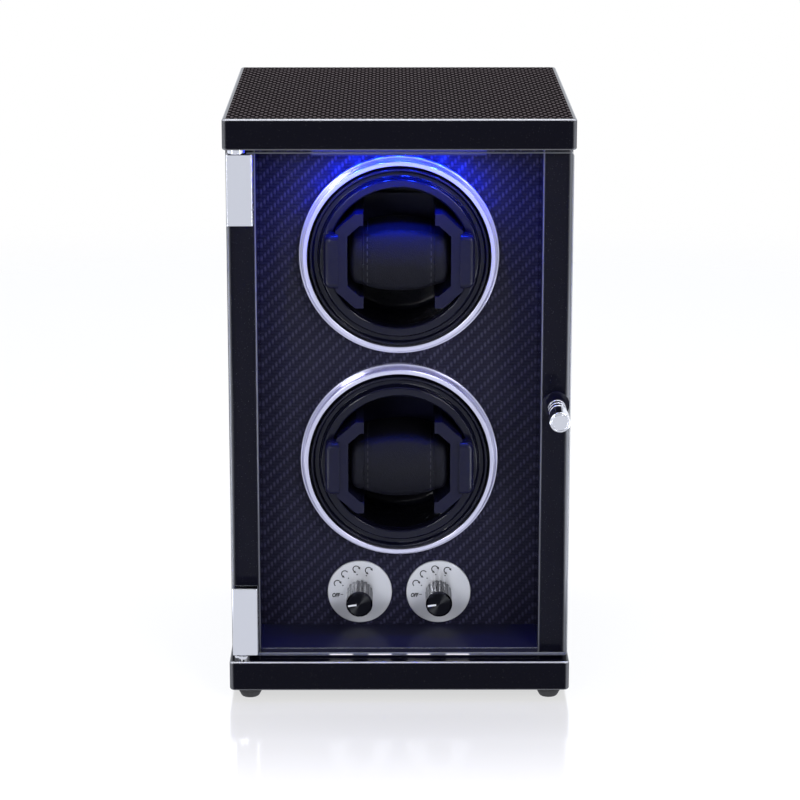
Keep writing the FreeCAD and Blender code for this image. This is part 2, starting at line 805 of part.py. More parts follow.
def motor_mount():
    """Plate on four posts that holds the gear motor behind the drum."""
    (left, left_z), _, (right, right_z), _ = mount_posts()
    left_edge = left - mount_margin
    left_top = -left_z + mount_margin
    right_top = -right_z + mount_margin
    right_edge = motor_x + gearbox_radius + mount_edge
    plan = [(left_edge, -left_top, mount_corner), (left_edge, left_top, mount_corner),
            (right, right_top, mount_corner), (right_edge, gearbox_radius, mount_corner),
            (right_edge, -gearbox_radius, mount_corner), (right, -right_top, mount_corner)]
    plate = prism(plan, FACE, mount_front, mount_rear)
    hole = rod(mount_boss_radius + mount_boss_clearance, mount_front, mount_rear, motor_x)
    posts = [rod(mount_post_radius, drum_rear, mount_front, x, z) for x, z in mount_posts()]
    return plate.cut(hole).fuse(posts).removeSplitter()


def gear_motor():
    bore_end = mount_front + spindle_grip + spindle_clearance
    motor = turned([(spindle_bore, mount_front), (mount_boss_radius, mount_front),
                    (mount_boss_radius, mount_rear), (gearbox_radius, mount_rear, gearbox_rounding),
                    (gearbox_radius, gearbox_rear), (motor_radius, gearbox_rear),
                    (motor_radius, motor_rear, motor_rounding), (motor_cap_radius, motor_rear),
                    (motor_cap_radius, drive_rear), (0, drive_rear), (0, bore_end), (spindle_bore, bore_end)])
    return moved(motor, motor_x)


def tray_corners(inset, rounding):
    """Corners of the holder's octagon, moved in by inset on every side."""
    run = tray_side_x - tray_top_x
    rise = tray_top_z - tray_side_z
    slope = math.hypot(run, rise)
    reach = rise * tray_side_x + run * tray_side_z - inset * slope
    side_x = tray_side_x - inset
    top_z_in = tray_top_z - inset
    side_z = (reach - rise * side_x) / run
    top_x = (reach - run * top_z_in) / rise
    upper = [(side_x, side_z), (top_x, top_z_in), (-top_x, top_z_in), (-side_x, side_z)]
    lower = [(x, -z) for x, z in reversed(upper)]
    return [(x, z, rounding) for x, z in upper + lower]


def watch_tray():
    """Octagonal holder: two cheeks with grip ears on a back plate, open above and below."""
    plate_front_y = tray_rear - tray_back
    shell = prism(tray_corners(0, tray_corner), FACE, tray_front, tray_rear)
    hollow = prism(tray_corners(tray_band, 0), FACE, tray_front, plate_front_y)
    slot = block((-strap_slot / 2, strap_slot / 2), (tray_front, plate_front_y),
                 (-mouth_radius, mouth_radius))
    return shell.cut([hollow, slot]).fuse([grip_ear(-1), grip_ear(1)]).removeSplitter()


def grip_ear(side):
    """Ear on the holder's cheek, in front of the cup's lip, rounded outside and sharp inside."""
    front = tray_front - ear_rise
    inner = side * (tray_side_x - ear_overlap)
    outer = side * (tray_side_x + ear_reach)
    half = tray_side_z - ear_inset
    face = [(inner, -half), (outer, -half, ear_corner), (outer, half, ear_corner), (inner, half)]
    ear = prism(face, FACE, front, -lip_reach - ear_gap)
    rims = [edge for edge in front_edges(ear, front) if abs(edge.CenterOfMass.x - inner) > 0.001]
    return ear.makeFillet(ear_edge, rims)


def watch_cushion():
    """Crowned cushion between the holder's cheeks, with its ends drawn in."""
    side_corner = tray_corners(tray_band, 0)[0]
    half_length = side_corner[0] - cushion_gap
    half_middle = tray_top_z - tray_band - cushion_room
    half_end = side_corner[1] - 2 * cushion_gap
    front = tray_front - cushion_crown
    rear = front + cushion_depth
    sections = []
    for place in range(cushion_sections):
        share = 2.0 * place / (cushion_sections - 1) - 1.0
        half = half_middle - (half_middle - half_end) * share ** 2
        sharpness = math.hypot(half, cushion_shoulder) / half - 1.0
        nose = front + cushion_draw * share ** 2 - cushion_nose_rounding * sharpness
        shoulder = nose + cushion_shoulder
        profile = [(nose, 0, cushion_nose_rounding), (shoulder, half, cushion_rounding),
                   (rear, half, cushion_rounding), (rear, -half, cushion_rounding),
                   (shoulder, -half, cushion_rounding)]
        wire = outline(profile, SIDE)
        wire.translate(X * (half_length * share))
        sections.append(wire)
    return outward(Part.makeLoft(sections, True, False))


def selector_places():
    return {name: side * selector_spacing / 2 for name, side in SIDES.items()}


def at_selector(shape, name):
    return moved(shape, selector_places()[name], 0, selector_z)


def selector_plate():
    """Polished dial plate round a selector."""
    disc = rod(plate_radius, plate_front, panel_front)
    disc = disc.makeChamfer(plate_bevel, front_edges(disc, plate_front))
    return disc.cut(rod(switch_bushing_radius + switch_bushing_clearance, plate_front, panel_front))


def mode_switch():
    """Rotary switch behind the panel with its threaded bushing and soldering tabs."""
    bore_end = shaft_end + switch_shaft_clearance
    can = turned([(switch_bore, bushing_front), (switch_bushing_radius, bushing_front),
                  (switch_bushing_radius, panel_rear), (switch_radius, panel_rear, switch_rounding),
                  (switch_radius, switch_rear, switch_rounding), (0, switch_rear), (0, bore_end),
                  (switch_bore, bore_end)])
    width, length, thickness = switch_tab
    pitch = 2 * width
    first = -pitch * (switch_tabs - 1) / 2
    tabs = []
    for place in range(switch_tabs):
        x = first + pitch * place
        tabs.append(block((x - width / 2, x + width / 2), (switch_rear, switch_rear + length),
                          (-thickness / 2, thickness / 2)))
    return can.fuse(tabs).removeSplitter()


def switch_shaft():
    return rod(switch_shaft_radius, knob_bore_end, shaft_end)


def switch_nut():
    angles = [math.radians(60 * place) for place in range(6)]
    hexagon = [(nut_corner * math.cos(angle), nut_corner * math.sin(angle)) for angle in angles]
    thread = rod(switch_bushing_radius, nut_front, plate_front)
    return prism(hexagon, FACE, nut_front, plate_front).cut(thread)


def selector_knob():
    """Fluted knob with a hollow back over the nut and a pointer line on its face."""
    hollow_front = knob_rear - selector_knob_hollow
    bevel = selector_knob_radius - selector_knob_bevel
    knob = turned([(0, knob_front), (bevel, knob_front),
                   (selector_knob_radius, knob_front + selector_knob_bevel),
                   (selector_knob_radius, knob_rear), (selector_knob_inner, knob_rear),
                   (selector_knob_inner, hollow_front),
                   (switch_shaft_radius, hollow_front), (switch_shaft_radius, knob_bore_end),
                   (0, knob_bore_end)])
    flute_place = selector_knob_radius + flute_radius - flute_depth
    flute = rod(flute_radius, knob_front + selector_knob_bevel, knob_rear, flute_place)
    flutes = [round_axis(flute, 360.0 * (place + 0.5) / flute_count) for place in range(flute_count)]
    line = block((-bevel, pointer_length - bevel), (knob_front, knob_front + pointer_depth),
                 (-pointer_width / 2, pointer_width / 2))
    return knob.cut(flutes + [round_axis(line, -pointer_angle)])


def board_span():
    rear = back_front - board_to_back
    return rear - board_depth, rear


def control_board():
    """Circuit board on four spacers."""
    half = board_length / 2
    front, rear = board_span()
    low = wall_low + board_spacer_height
    board = block((-half, half), (front, rear), (low, low + board_thickness))
    places = [(x, y) for x in (board_hole_inset - half, half - board_hole_inset)
              for y in (front + board_hole_inset, rear - board_hole_inset)]
    spacers = [post(board_spacer_radius, wall_low, low, x, y) for x, y in places]
    return [board] + spacers


def board_parts():
    """Controller chip, capacitors and wire sockets on the board."""
    front, rear = board_span()
    middle = (front + rear) / 2
    low = wall_low + board_spacer_height + board_thickness
    width, depth, height = chip_size
    chip = block((-width / 2, width / 2), (middle - depth / 2, middle + depth / 2), (low, low + height))
    capacitors = [post(capacitor_radius, low, low + capacitor_height, side * board_length / 3, middle)
                  for side in SIDES.values()]
    width, depth, height = plug_size
    sockets = []
    for side in SIDES.values():
        x = side * board_length / 5
        sockets.append(block((x - width / 2, x + width / 2), (rear - 2 * depth, rear - depth),
                             (low, low + height)))
    return [chip] + capacitors + sockets


def dc_jack():
    """Power inlet in the back panel: a socket with its centre pin, and the nut inside."""
    rear = back_rear + jack_flange
    bore_end = rear - jack_bore_depth
    front = rear - jack_length
    pin_tip = rear - jack_pin_recess
    collar = jack_radius + jack_collar
    socket = turned([(0, front), (jack_radius, front), (jack_radius, back_rear), (collar, back_rear),
                     (collar, rear, jack_rounding), (jack_bore, rear), (jack_bore, bore_end),
                     (jack_pin, bore_end), (jack_pin, pin_tip, jack_pin_rounding), (0, pin_tip)])
    nut = rod(jack_radius + jack_nut_wall, back_front - jack_nut, back_front).cut(
        rod(jack_radius, back_front - jack_nut, back_front))
    return [moved(shape, 0, 0, wall_low + jack_height) for shape in (socket, nut)]


def clamp_span(level):
    """Low and high ends of a hinge clamp, and the end that turns on the pivot."""
    if level == "upper":
        high = wall_high - clamp_gap
        return high - clamp_height, high, high
    low = wall_low + clamp_gap
    return low, low + clamp_height, low


def core_space(level, gap):
    """Solid end of a clamp, or with a gap the glass's notch round it."""
    low, high, pivot_end = clamp_span(level)
    right = door_left + core_width + gap
    if level == "upper":
        span = (pivot_end - core_height - gap, wall_high)
    else:
        span = (wall_low, pivot_end + core_height + gap)
    return block((door_left - slab_width, right), (glass_front, glass_rear), span)


def hinge_clamp(level):
    """Chrome clamp over a corner of the glass, bored for the pivot."""
    low, high, pivot_end = clamp_span(level)
    right = door_left + clamp_width
    plan = rectangle(door_left, right, hinge_y - clamp_half, hinge_y + clamp_half, clamp_edge)
    body = prism(plan, PLAN, low, high)
    body = body.makeFillet(clamp_edge / 2, level_edges(body, low, high))
    slot = block((door_left, right), (glass_front, glass_rear), (low, high))
    inward = -1 if level == "upper" else 1
    bore_end = pivot_end + inward * (pivot_length + pivot_end_gap)
    bore = pivot_piece(pivot_radius + pivot_clearance, pivot_end, bore_end)
    holes = [rod(grub_radius + grub_clearance, glass_rear, glass_rear + clamp_cheek, x, z)
             for x, z in grub_places(level)]
    return body.cut(slot.cut(core_space(level, 0))).cut([bore] + holes)


def grub_places(level):
    low, high, pivot_end = clamp_span(level)
    inward = -1 if level == "upper" else 1
    pitch = (clamp_height - core_height) / grubs_per_clamp
    first = core_height + pitch / 2
    x = door_left + clamp_width / 2
    return [(x, pivot_end + inward * (first + pitch * place)) for place in range(grubs_per_clamp)]


def clamp_screws():
    return [rod(grub_radius, glass_rear, glass_rear + clamp_cheek - grub_recess, x, z)
            for level in LEVELS for x, z in grub_places(level)]


def door_pivot(level):
    """Fixed pivot: a stub in the slab, a disc and the pin that the clamp turns on."""
    face = wall_high if level == "upper" else wall_low
    inward = -1 if level == "upper" else 1
    disc_end = face + inward * (clamp_gap - pivot_gap)
    pin_end = disc_end + inward * pivot_length
    stub_end = face - inward * pivot_stub_length
    stub = pivot_piece(pivot_stub_radius, stub_end, face)
    disc = pivot_piece(pivot_disc_radius, face, disc_end)
    pin = pivot_piece(pivot_radius, disc_end, pin_end)
    return stub.fuse([disc, pin]).removeSplitter()


def pivot_piece(radius, start, end):
    """Cylinder on the door's axis between two heights."""
    return post(radius, min(start, end), max(start, end), hinge_x, hinge_y)


def door_glass():
    """Frameless glass door with notches for the clamps and a hole for the knob."""
    face = rectangle(door_left, door_right, wall_low + glass_gap, wall_high - glass_gap, glass_corner)
    sheet = prism(face, FACE, glass_front, glass_rear)
    sheet = sheet.makeChamfer(glass_arris, front_edges(sheet, glass_front, glass_rear))
    notches = [core_space(level, core_gap) for level in LEVELS]
    hole = rod(screw_radius + knob_screw_clearance, glass_front, glass_rear, door_knob_x, door_knob_z)
    return sheet.cut(notches + [hole])


def at_door_knob(shape):
    return moved(shape, door_knob_x, 0, door_knob_z)


def door_knob():
    """Turned knob: a ringed barrel and a plain cap with a line round its face."""
    tip = glass_front - door_knob_length
    cap_end = tip + door_knob_cap
    base_start = glass_front - door_knob_base
    line_end = door_knob_radius - door_knob_rim
    line_start = line_end - door_knob_line
    valley = door_knob_barrel - door_knob_groove
    pitch = door_knob_groove + door_knob_ring
    profile = [(0, tip), (line_start, tip), (line_start, tip + door_knob_line),
               (line_end, tip + door_knob_line), (line_end, tip),
               (door_knob_radius, tip, door_knob_rounding), (door_knob_radius, cap_end, door_knob_arris)]
    for place in range(door_knob_rings):
        groove_start = cap_end + pitch * place
        groove_end = groove_start + door_knob_groove
        profile += [(valley, groove_start), (valley, groove_end),
                    (door_knob_barrel, groove_end, door_knob_ring_rounding),
                    (door_knob_barrel, groove_start + pitch, door_knob_ring_rounding)]
    bore_end = glass_front - knob_screw_bite
    profile += [(valley, base_start - door_knob_groove), (valley, base_start),
                (door_knob_barrel, base_start, door_knob_ring_rounding), (door_knob_barrel, glass_front),
                (screw_radius, glass_front), (screw_radius, bore_end), (0, bore_end)]
    return at_door_knob(turned(profile))


def knob_screw():
    rear = glass_rear + strike_thickness
    return at_door_knob(countersunk(rear, strike_thickness + glass_thickness + knob_screw_bite))


def strike_plate():
    """Steel disc behind the knob that the magnet holds."""
    disc = rod(strike_radius, glass_rear, glass_rear + strike_thickness)
    return at_door_knob(disc).cut(knob_screw())


def nodes():
    """Every piece by its name; a group of like pieces is a list."""
    pieces = {
        "top_slab": top_slab(), "top_inlay": top_inlay(), "base_slab": base_slab(),
        "left_wall": wall(-1), "right_wall": right_wall(), "back_panel": back_panel(),
        "back_panel_screws": back_screws(), "front_panel": front_panel(), "floor_board": floor_board(),
        "feet": feet(), "foot_screws": foot_screws(), "led_channel": led_channel(),
        "led_strip": led_strip(), "led_chips": led_chips(), "housing_screws": housing_screws(),
        "control_board": control_board(), "board_parts": board_parts(), "dc_jack": dc_jack(),
        "catch_magnet": catch_magnet(), "door_glass": door_glass(), "clamp_screws": clamp_screws(),
        "door_knob": door_knob(), "knob_screw": knob_screw(), "strike_plate": strike_plate(),
        "door_pivots": [door_pivot(level) for level in LEVELS],
        "switch_nuts": [at_selector(switch_nut(), name) for name in SIDES],
        "shaft_bushes": [moved(shaft_bush(), 0, panel_front, z) for z in LEVELS.values()],
        "motor_mounts": [moved(motor_mount(), 0, panel_front, z) for z in LEVELS.values()],
        "drive_belts": [moved(drive_belt(), 0, panel_front, z) for z in LEVELS.values()],
    }
    for level, z in LEVELS.items():
        pieces[level + "_hinge_clamp"] = hinge_clamp(level)
        for name, shape in winder_pieces().items():
            group = shape if isinstance(shape, list) else [shape]
            pieces[level + "_" + name] = [moved(item, 0, panel_front, z) for item in group]
    for name in SIDES:
        for piece, shape in selector_pieces().items():
            pieces[name + "_" + piece] = at_selector(shape, name)
    return pieces


def winder_pieces():
    """Pieces that both cups have, about the cup's axis and the panel's face."""
    return {"bezel_ring": bezel_ring(), "rotor_rim": rotor_rim(), "rotor_cup": rotor_cup(),
            "rotor_shaft": rotor_shaft(), "rotor_pulley": rotor_pulley(), "drum_housing": drum_housing(),
            "gear_motor": gear_motor(), "motor_pulley": motor_pulley(), "watch_tray": watch_tray(),
            "watch_cushion": watch_cushion()}


def selector_pieces():
    """Pieces that both selectors have, about the selector's axis."""
    return {"selector_plate": selector_plate(), "mode_switch": mode_switch(),
            "switch_shaft": switch_shaft(), "selector_knob": selector_knob()}


def export(name, shape):
    """One file for each named piece."""
    if isinstance(shape, list):
        shape = shape[0] if len(shape) == 1 else Part.makeCompound(shape)
    shape.exportStep(os.path.join("parts", name + ".step"))


os.makedirs("parts", exist_ok=True)
for node_name, node_shape in nodes().items():
    export(node_name, node_shape)
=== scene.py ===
"""Looks of a glass-fronted winder cabinet with two turning cups, built round its packed construction.

Metres, in the construction's own frame: X runs to the right, Y to the back and Z up.
"""

from __future__ import annotations

import functools
import logging
import math
from dataclasses import dataclass, field, replace
from enum import Enum
from typing import Sequence, Union

import bmesh
import bpy
from mathutils import Euler, Matrix, Vector
from mathutils.bvhtree import BVHTree


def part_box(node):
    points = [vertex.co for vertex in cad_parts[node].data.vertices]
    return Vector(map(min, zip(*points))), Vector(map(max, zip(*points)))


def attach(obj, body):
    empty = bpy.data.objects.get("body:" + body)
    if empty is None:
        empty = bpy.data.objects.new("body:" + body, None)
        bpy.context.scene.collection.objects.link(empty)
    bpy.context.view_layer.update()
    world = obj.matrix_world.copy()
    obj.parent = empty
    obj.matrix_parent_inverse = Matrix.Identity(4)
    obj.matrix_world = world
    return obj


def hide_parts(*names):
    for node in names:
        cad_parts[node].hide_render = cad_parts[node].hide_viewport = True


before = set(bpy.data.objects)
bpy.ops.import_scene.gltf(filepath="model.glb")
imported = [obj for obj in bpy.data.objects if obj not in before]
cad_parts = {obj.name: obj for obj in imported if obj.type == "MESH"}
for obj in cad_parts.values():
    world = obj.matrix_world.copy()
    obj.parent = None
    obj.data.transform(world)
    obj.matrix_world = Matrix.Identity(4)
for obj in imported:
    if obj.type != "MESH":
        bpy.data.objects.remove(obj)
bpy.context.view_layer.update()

LOG = logging.getLogger("winder")
MM = 0.001
LEVELS = ("upper", "lower")
SIDES = ("left", "right")
CABINET = "cabinet"
CREASE = math.radians(35)
MERGE = 0.01 * MM
SORT_STEP = 0.1 * MM
BEVEL_SAMPLES = 4

Colour = tuple[float, float, float]
Point = tuple[float, float, float]
Flat = tuple[float, float]
EVEN: Point = (1.0, 1.0, 1.0)


def shade(red: int, green: int, blue: int) -> Colour:
    """Turns a colour as a screen shows it into the linear one that shaders take.

    Args:
        red: Red part, 0 to 255.
        green: Green part, 0 to 255.
        blue: Blue part, 0 to 255.

    Returns:
        The same colour in linear light.
    """
    shares = (part / 255 for part in (red, green, blue))
    return tuple(s / 12.92 if s <= 0.04045 else ((s + 0.055) / 1.055) ** 2.4 for s in shares)


WHITE: Colour = (1.0, 1.0, 1.0)
BLACK: Colour = (0.0, 0.0, 0.0)
DUST = shade(150, 150, 152)
LIGHT_BLUE: Colour = (0.005, 0.03, 1.0)
LIGHT_CORE: Colour = (0.1, 0.62, 1.0)
COOL: Colour = (0.97, 1.0, 1.07)


class Wire:
    """One output of a node. Arithmetic on it adds Math nodes to the same web."""

    def __init__(self, web: Web, socket: bpy.types.NodeSocket) -> None:
        """Keeps the socket and the web that it belongs to."""
        self.web = web
        self.socket = socket

    def __add__(self, other: Value) -> Wire:
        """Adds a value."""
        return self.web.maths("ADD", self, other)

    def __sub__(self, other: Value) -> Wire:
        """Takes a value away."""
        return self.web.maths("SUBTRACT", self, other)

    def __rsub__(self, other: Value) -> Wire:
        """Takes this away from a value."""
        return self.web.maths("SUBTRACT", other, self)

    def __mul__(self, other: Value) -> Wire:
        """Multiplies by a value."""
        return self.web.maths("MULTIPLY", self, other)

    def __truediv__(self, other: Value) -> Wire:
        """Divides by a value."""
        return self.web.maths("DIVIDE", self, other)

    def __mod__(self, other: Value) -> Wire:
        """Remainder, never negative."""
        return self.web.maths("FLOORED_MODULO", self, other)

    def __pow__(self, other: Value) -> Wire:
        """Raises to a power."""
        return self.web.maths("POWER", self, other)

    def __lt__(self, other: Value) -> Wire:
        """1 where this is less than a value, else 0."""
        return self.web.maths("LESS_THAN", self, other)

    def __gt__(self, other: Value) -> Wire:
        """1 where this is more than a value, else 0."""
        return self.web.maths("GREATER_THAN", self, other)

    def __abs__(self) -> Wire:
        """Size without its sign."""
        return self.web.maths("ABSOLUTE", self)

    def __floor__(self) -> Wire:
        """Whole number below."""
        return self.web.maths("FLOOR", self)

    __radd__ = __add__
    __rmul__ = __mul__


Value = Union[Wire, float]
Paint = Union[Wire, Colour]


class Web:
    """The nodes of one material or of the world."""

    def __init__(self, tree: bpy.types.NodeTree) -> None:
        """Empties a node tree and keeps it."""
        tree.nodes.clear()
        self.tree = tree

    def node(self, kind: str, settings: dict | None = None, sockets: dict | None = None,
             out: int | str = 0) -> Wire | None:
        """Adds one node.

        Args:
            kind: The node's type.
            settings: Its own settings, set first.
            sockets: Values or wires for its inputs, by name or number.
            out: Which output to return.

        Returns:
            The output asked for, or None where the node has none.
        """
        made = self.tree.nodes.new(kind)
        for name, value in (settings or {}).items():
            setattr(made, name, value)
        for key, value in (sockets or {}).items():
            entry = made.inputs[key]
            if isinstance(value, Wire):
                self.tree.links.new(value.socket, entry)
            elif entry.type == "RGBA":
                entry.default_value = (*value, 1.0)
            else:
                entry.default_value = value
        return Wire(self, made.outputs[out]) if made.outputs else None

    def maths(self, operation: str, *values: Value) -> Wire:
        """Adds one Math node on the values, in order."""
        return self.node("ShaderNodeMath", {"operation": operation}, dict(enumerate(values)))

    def most(self, *values: Value) -> Wire:
        """Largest of the values."""
        return functools.reduce(lambda one, other: self.maths("MAXIMUM", one, other), values)

    def place(self) -> Wire:
        """Coordinates fixed to the piece."""
        return self.node("ShaderNodeTexCoord", out="Object")

    def split(self, vector: Wire) -> tuple[Wire, Wire, Wire]:
        """Three parts of a vector."""
        parts = self.node("ShaderNodeSeparateXYZ", {}, {"Vector": vector})
        return tuple(Wire(self, output) for output in parts.socket.node.outputs)

    def stretched(self, scales: Point) -> Wire:
        """Coordinates of the piece times a scale along each axis."""
        return self.node("ShaderNodeVectorMath", {"operation": "MULTIPLY"}, {0: self.place(), 1: scales})

    def noise(self, size: float, detail: float = 2.0, scales: Point = EVEN) -> Wire:
        """Cloudy noise of about the given size, from 0 to 1.

        Args:
            size: Length of one cloud.
            detail: Number of finer layers.
            scales: Squeeze along each axis.

        Returns:
            The noise's value.
        """
        vector = self.place() if scales == EVEN else self.stretched(scales)
        return self.node("ShaderNodeTexNoise", {},
                         {"Vector": vector, "Scale": 1 / size, "Detail": detail})

    def smooth(self, value: Wire, low: float, high: float) -> Wire:
        """Eases from 0 at low to 1 at high."""
        return self.node("ShaderNodeMapRange", {"interpolation_type": "SMOOTHSTEP"},
                         {"Value": value, "From Min": low, "From Max": high})

    def mix(self, share: Value, low: Paint, high: Paint) -> Wire:
        """Colour between low and high."""
        return self.node("ShaderNodeMix", {"data_type": "RGBA"}, {0: share, 6: low, 7: high}, out=2)

    def softened(self, radius: float) -> Wire:
        """Normal with the edges rounded off by a small radius."""
        return self.node("ShaderNodeBevel", {"samples": BEVEL_SAMPLES}, {"Radius": radius})

    def bump(self, height: Wire, depth: float, normal: Wire | None = None) -> Wire:
        """Normal of a surface raised by a height.

        Args:
            height: Height, from 0 to 1.
            depth: Real height at 1.
            normal: Normal to start from.

        Returns:
            The bumped normal.
        """
        sockets = {"Height": height, "Distance": depth}
        if normal is not None:
            sockets["Normal"] = normal
        return self.node("ShaderNodeBump", {}, sockets)

    def principled(self, sockets: dict) -> Wire:
        """A Principled shader with these sockets."""
        return self.node("ShaderNodeBsdfPrincipled", {}, sockets)

    def blended(self, share: Value, low: Wire, high: Wire) -> Wire:
        """Shader between low and high."""
        return self.node("ShaderNodeMixShader", {}, {0: share, 1: low, 2: high})


def hump(share: Wire) -> Wire:
    """Arch that is 1 at a half and 0 at both ends."""
    return 4 * share * (1 - share)


@dataclass(frozen=True)
class Finish:
    """A surface finish. Each kind adds its own nodes."""

    name: str
    colour: Colour
    roughness: float

    def surface(self, web: Web) -> Wire:
        """Shader of the finish."""
        raise NotImplementedError


@functools.cache
def material_of(finish: Finish) -> bpy.types.Material:
    """Makes a finish's material once.

    Args:
        finish: The finish.

    Returns:
        Its material, the same one each time.
    """
    made = bpy.data.materials.new(f"finish_{finish.name}")
    made.use_nodes = True
    web = Web(made.node_tree)
    web.node("ShaderNodeOutputMaterial", {}, {"Surface": finish.surface(web)})
    return made


@dataclass(frozen=True)
class Lacquer(Finish):
    """Polished lacquer with a faint orange peel, polishing haze, specks of dust and a painted highlight on
    its arrises.
    """

    shine: float = 0.09
    peel: float = 2.2 * MM
    peel_depth: float = 0.0016 * MM
    haze: float = 45 * MM
    haze_share: float = 0.07
    speck: float = 0.5 * MM
    speck_level: float = 0.79
    speck_share: float = 0.12
    arris: float = 0.5 * MM
    # Pale colour and metallic share of the painted highlight on the arrises; edges facing up and forward get
    # it most.
    arris_highlight_colour: Colour = shade(205, 207, 216)
    arris_highlight_share: float = 0.4
    arris_highlight_aside: float = 0.22
    arris_turn: Flat = (0.8, 0.99)
    arris_highlight_rake: Flat = (0.1, 0.5)

    def painted_arris_highlights(self, web: Web, rounded: Wire) -> Wire:
        """Mask of the painted highlight on a board's edges, where its rounded normal faces along no axis.

        Args:
            web: Nodes of the material.
            rounded: The normal.

        Returns:
            1 on edges that face up and forward, where the painted highlight is strongest, a smaller share on
            the other edges and 0 elsewhere.
        """
        x, y, z = web.split(rounded)
        straight = web.most(abs(x), abs(y), abs(z))
        raked = web.smooth(z, *self.arris_highlight_rake) * web.smooth(-1 * y, *self.arris_highlight_rake)
        share = self.arris_highlight_aside + (1 - self.arris_highlight_aside) * raked
        return (1 - web.smooth(straight, *self.arris_turn)) * share

    def surface(self, web: Web) -> Wire:
        """Shader of the lacquer.

        Args:
            web: Nodes of the material.

        Returns:
            The shader.
        """
        haze = web.noise(self.haze, detail=5)
        specks = (web.noise(self.speck, detail=0) > self.speck_level) * self.speck_share
        rounded = web.softened(self.arris)
        edge = self.painted_arris_highlights(web, rounded)
        return web.principled({
            # Painted highlight: the arrises turn pale and partly metallic.
            "Base Color": web.mix(edge, web.mix(specks, self.colour, DUST), self.arris_highlight_colour),
            "Metallic": self.arris_highlight_share * edge,
            "Roughness": self.roughness + self.haze_share * haze,
            "Specular IOR Level": self.shine,
            "Normal": web.bump(web.noise(self.peel), self.peel_depth, rounded),
        })


class Lay(Enum):
    """Which way a woven sheet faces, as the number of its second axis."""

    UPRIGHT = 2
    LEVEL = 1


@dataclass(frozen=True)
class Weave(Finish):
    """Carbon-patterned sheet: tows that go over and under each other, with a painted sheen on the crest of
    each tow.
    """

    # Colour of the painted sheen on the tow crests.
    crest_sheen: Colour
    shine: float
    tow: Flat = (1.8 * MM, 1.8 * MM)
    repeat: int = 4
    lay: Lay = Lay.UPRIGHT
    relief: float = 0.16 * MM
    sag: float = 0.45
    weft_share: float = 0.2
    fleck: float = 0.8 * MM
    fleck_gain: float = 1.7
    fibre: float = 0.12 * MM
    fibre_share: float = 0.15
    dull: float = 0.25

    def surface(self, web: Web) -> Wire:
        """Shader of the sheet: colour with a painted sheen on the tow crests, gloss and relief of the weave.

        Args:
            web: Nodes of the material.

        Returns:
            The shader.
        """
        axes = web.split(web.place())
        across = axes[0] / self.tow[0]
        along = axes[self.lay.value] / self.tow[1]
        column, row = math.floor(across), math.floor(along)
        across, along = across - column, along - row
        phase = (column - row) % self.repeat
        reach = self.repeat // 2
        over = phase < reach - 0.5
        warp_arch = hump((reach - 1 - phase + along) / reach)
        weft_arch = hump((phase - reach + across) / reach)
        warp = hump(across) * (1 - self.sag + self.sag * warp_arch)
        weft = hump(along) * (1 - self.sag + self.sag * weft_arch)
        height = over * warp + (1 - over) * weft
        # Painted sheen: each tow is lighter along its crest where it rides over, the weft less so, flecked
        # by noise.
        crest_sheen = over * hump(across) * warp_arch + self.weft_share * (1 - over) * weft
        flecks = web.noise(self.fleck, detail=3)
        fibre = web.noise(self.fibre, detail=1)
        return web.principled({
            "Base Color": web.mix(crest_sheen * (self.fleck_gain * flecks), self.colour, self.crest_sheen),
            "Roughness": self.roughness + self.dull * (1 - height) * fibre,
            "Specular IOR Level": self.shine,
            "Normal": web.bump(height + self.fibre_share * fibre, self.relief),
        })


class Grain(Enum):
    """How a metal surface was worked."""

    POLISHED = "polished"
    SPUN = "spun"
    CAST = "cast"


@dataclass(frozen=True)
class Metal(Finish):
    """Bare or plated metal with its polishing lines."""

    grain: Grain = Grain.POLISHED
    metallic: float = 1.0
    axis: Flat = (0.0, 0.0)
    line: float = 0.25 * MM
    line_detail: float = 3.0
    drawn: Point = (1.0, 1.0, 0.08)
    depth: float = 0.0008 * MM
    smear: float = 14 * MM
    smear_share: float = 0.06
    arris: float = 0.15 * MM

    def round_axis(self, web: Web) -> tuple[Wire, Wire]:
        """Coordinates about the axis that spun lines go round.

        Args:
            web: Nodes of the material.

        Returns:
            Distance from the axis, and the angle about it.
        """
        x, _, z = web.split(web.place())
        x, z = x - self.axis[0], z - self.axis[1]
        return (x * x + z * z) ** 0.5, web.maths("ARCTAN2", z, x)

    def lines(self, web: Web) -> Wire:
        """Height of the polishing lines.

        Args:
            web: Nodes of the material.

        Returns:
            The height, from 0 to 1.
        """
        if self.grain is Grain.SPUN:
            radius, _ = self.round_axis(web)
            return web.node("ShaderNodeTexNoise", {"noise_dimensions": "1D"},
                            {"W": radius, "Scale": 1 / self.line, "Detail": self.line_detail})
        return web.noise(self.line, self.line_detail, EVEN if self.grain is Grain.CAST else self.drawn)

    def paint(self, web: Web) -> Paint:
        """Colour of the metal."""
        return self.colour

    def surface(self, web: Web) -> Wire:
        """Shader of the metal.

        Args:
            web: Nodes of the material.

        Returns:
            The shader.
        """
        lines = self.lines(web)
        smears = web.noise(self.smear, detail=4)
        return web.principled({
            "Base Color": self.paint(web),
            "Metallic": self.metallic,
            "Roughness": self.roughness + self.smear_share * smears * lines,
            "Normal": web.bump(lines, self.depth, web.softened(self.arris)),
        })


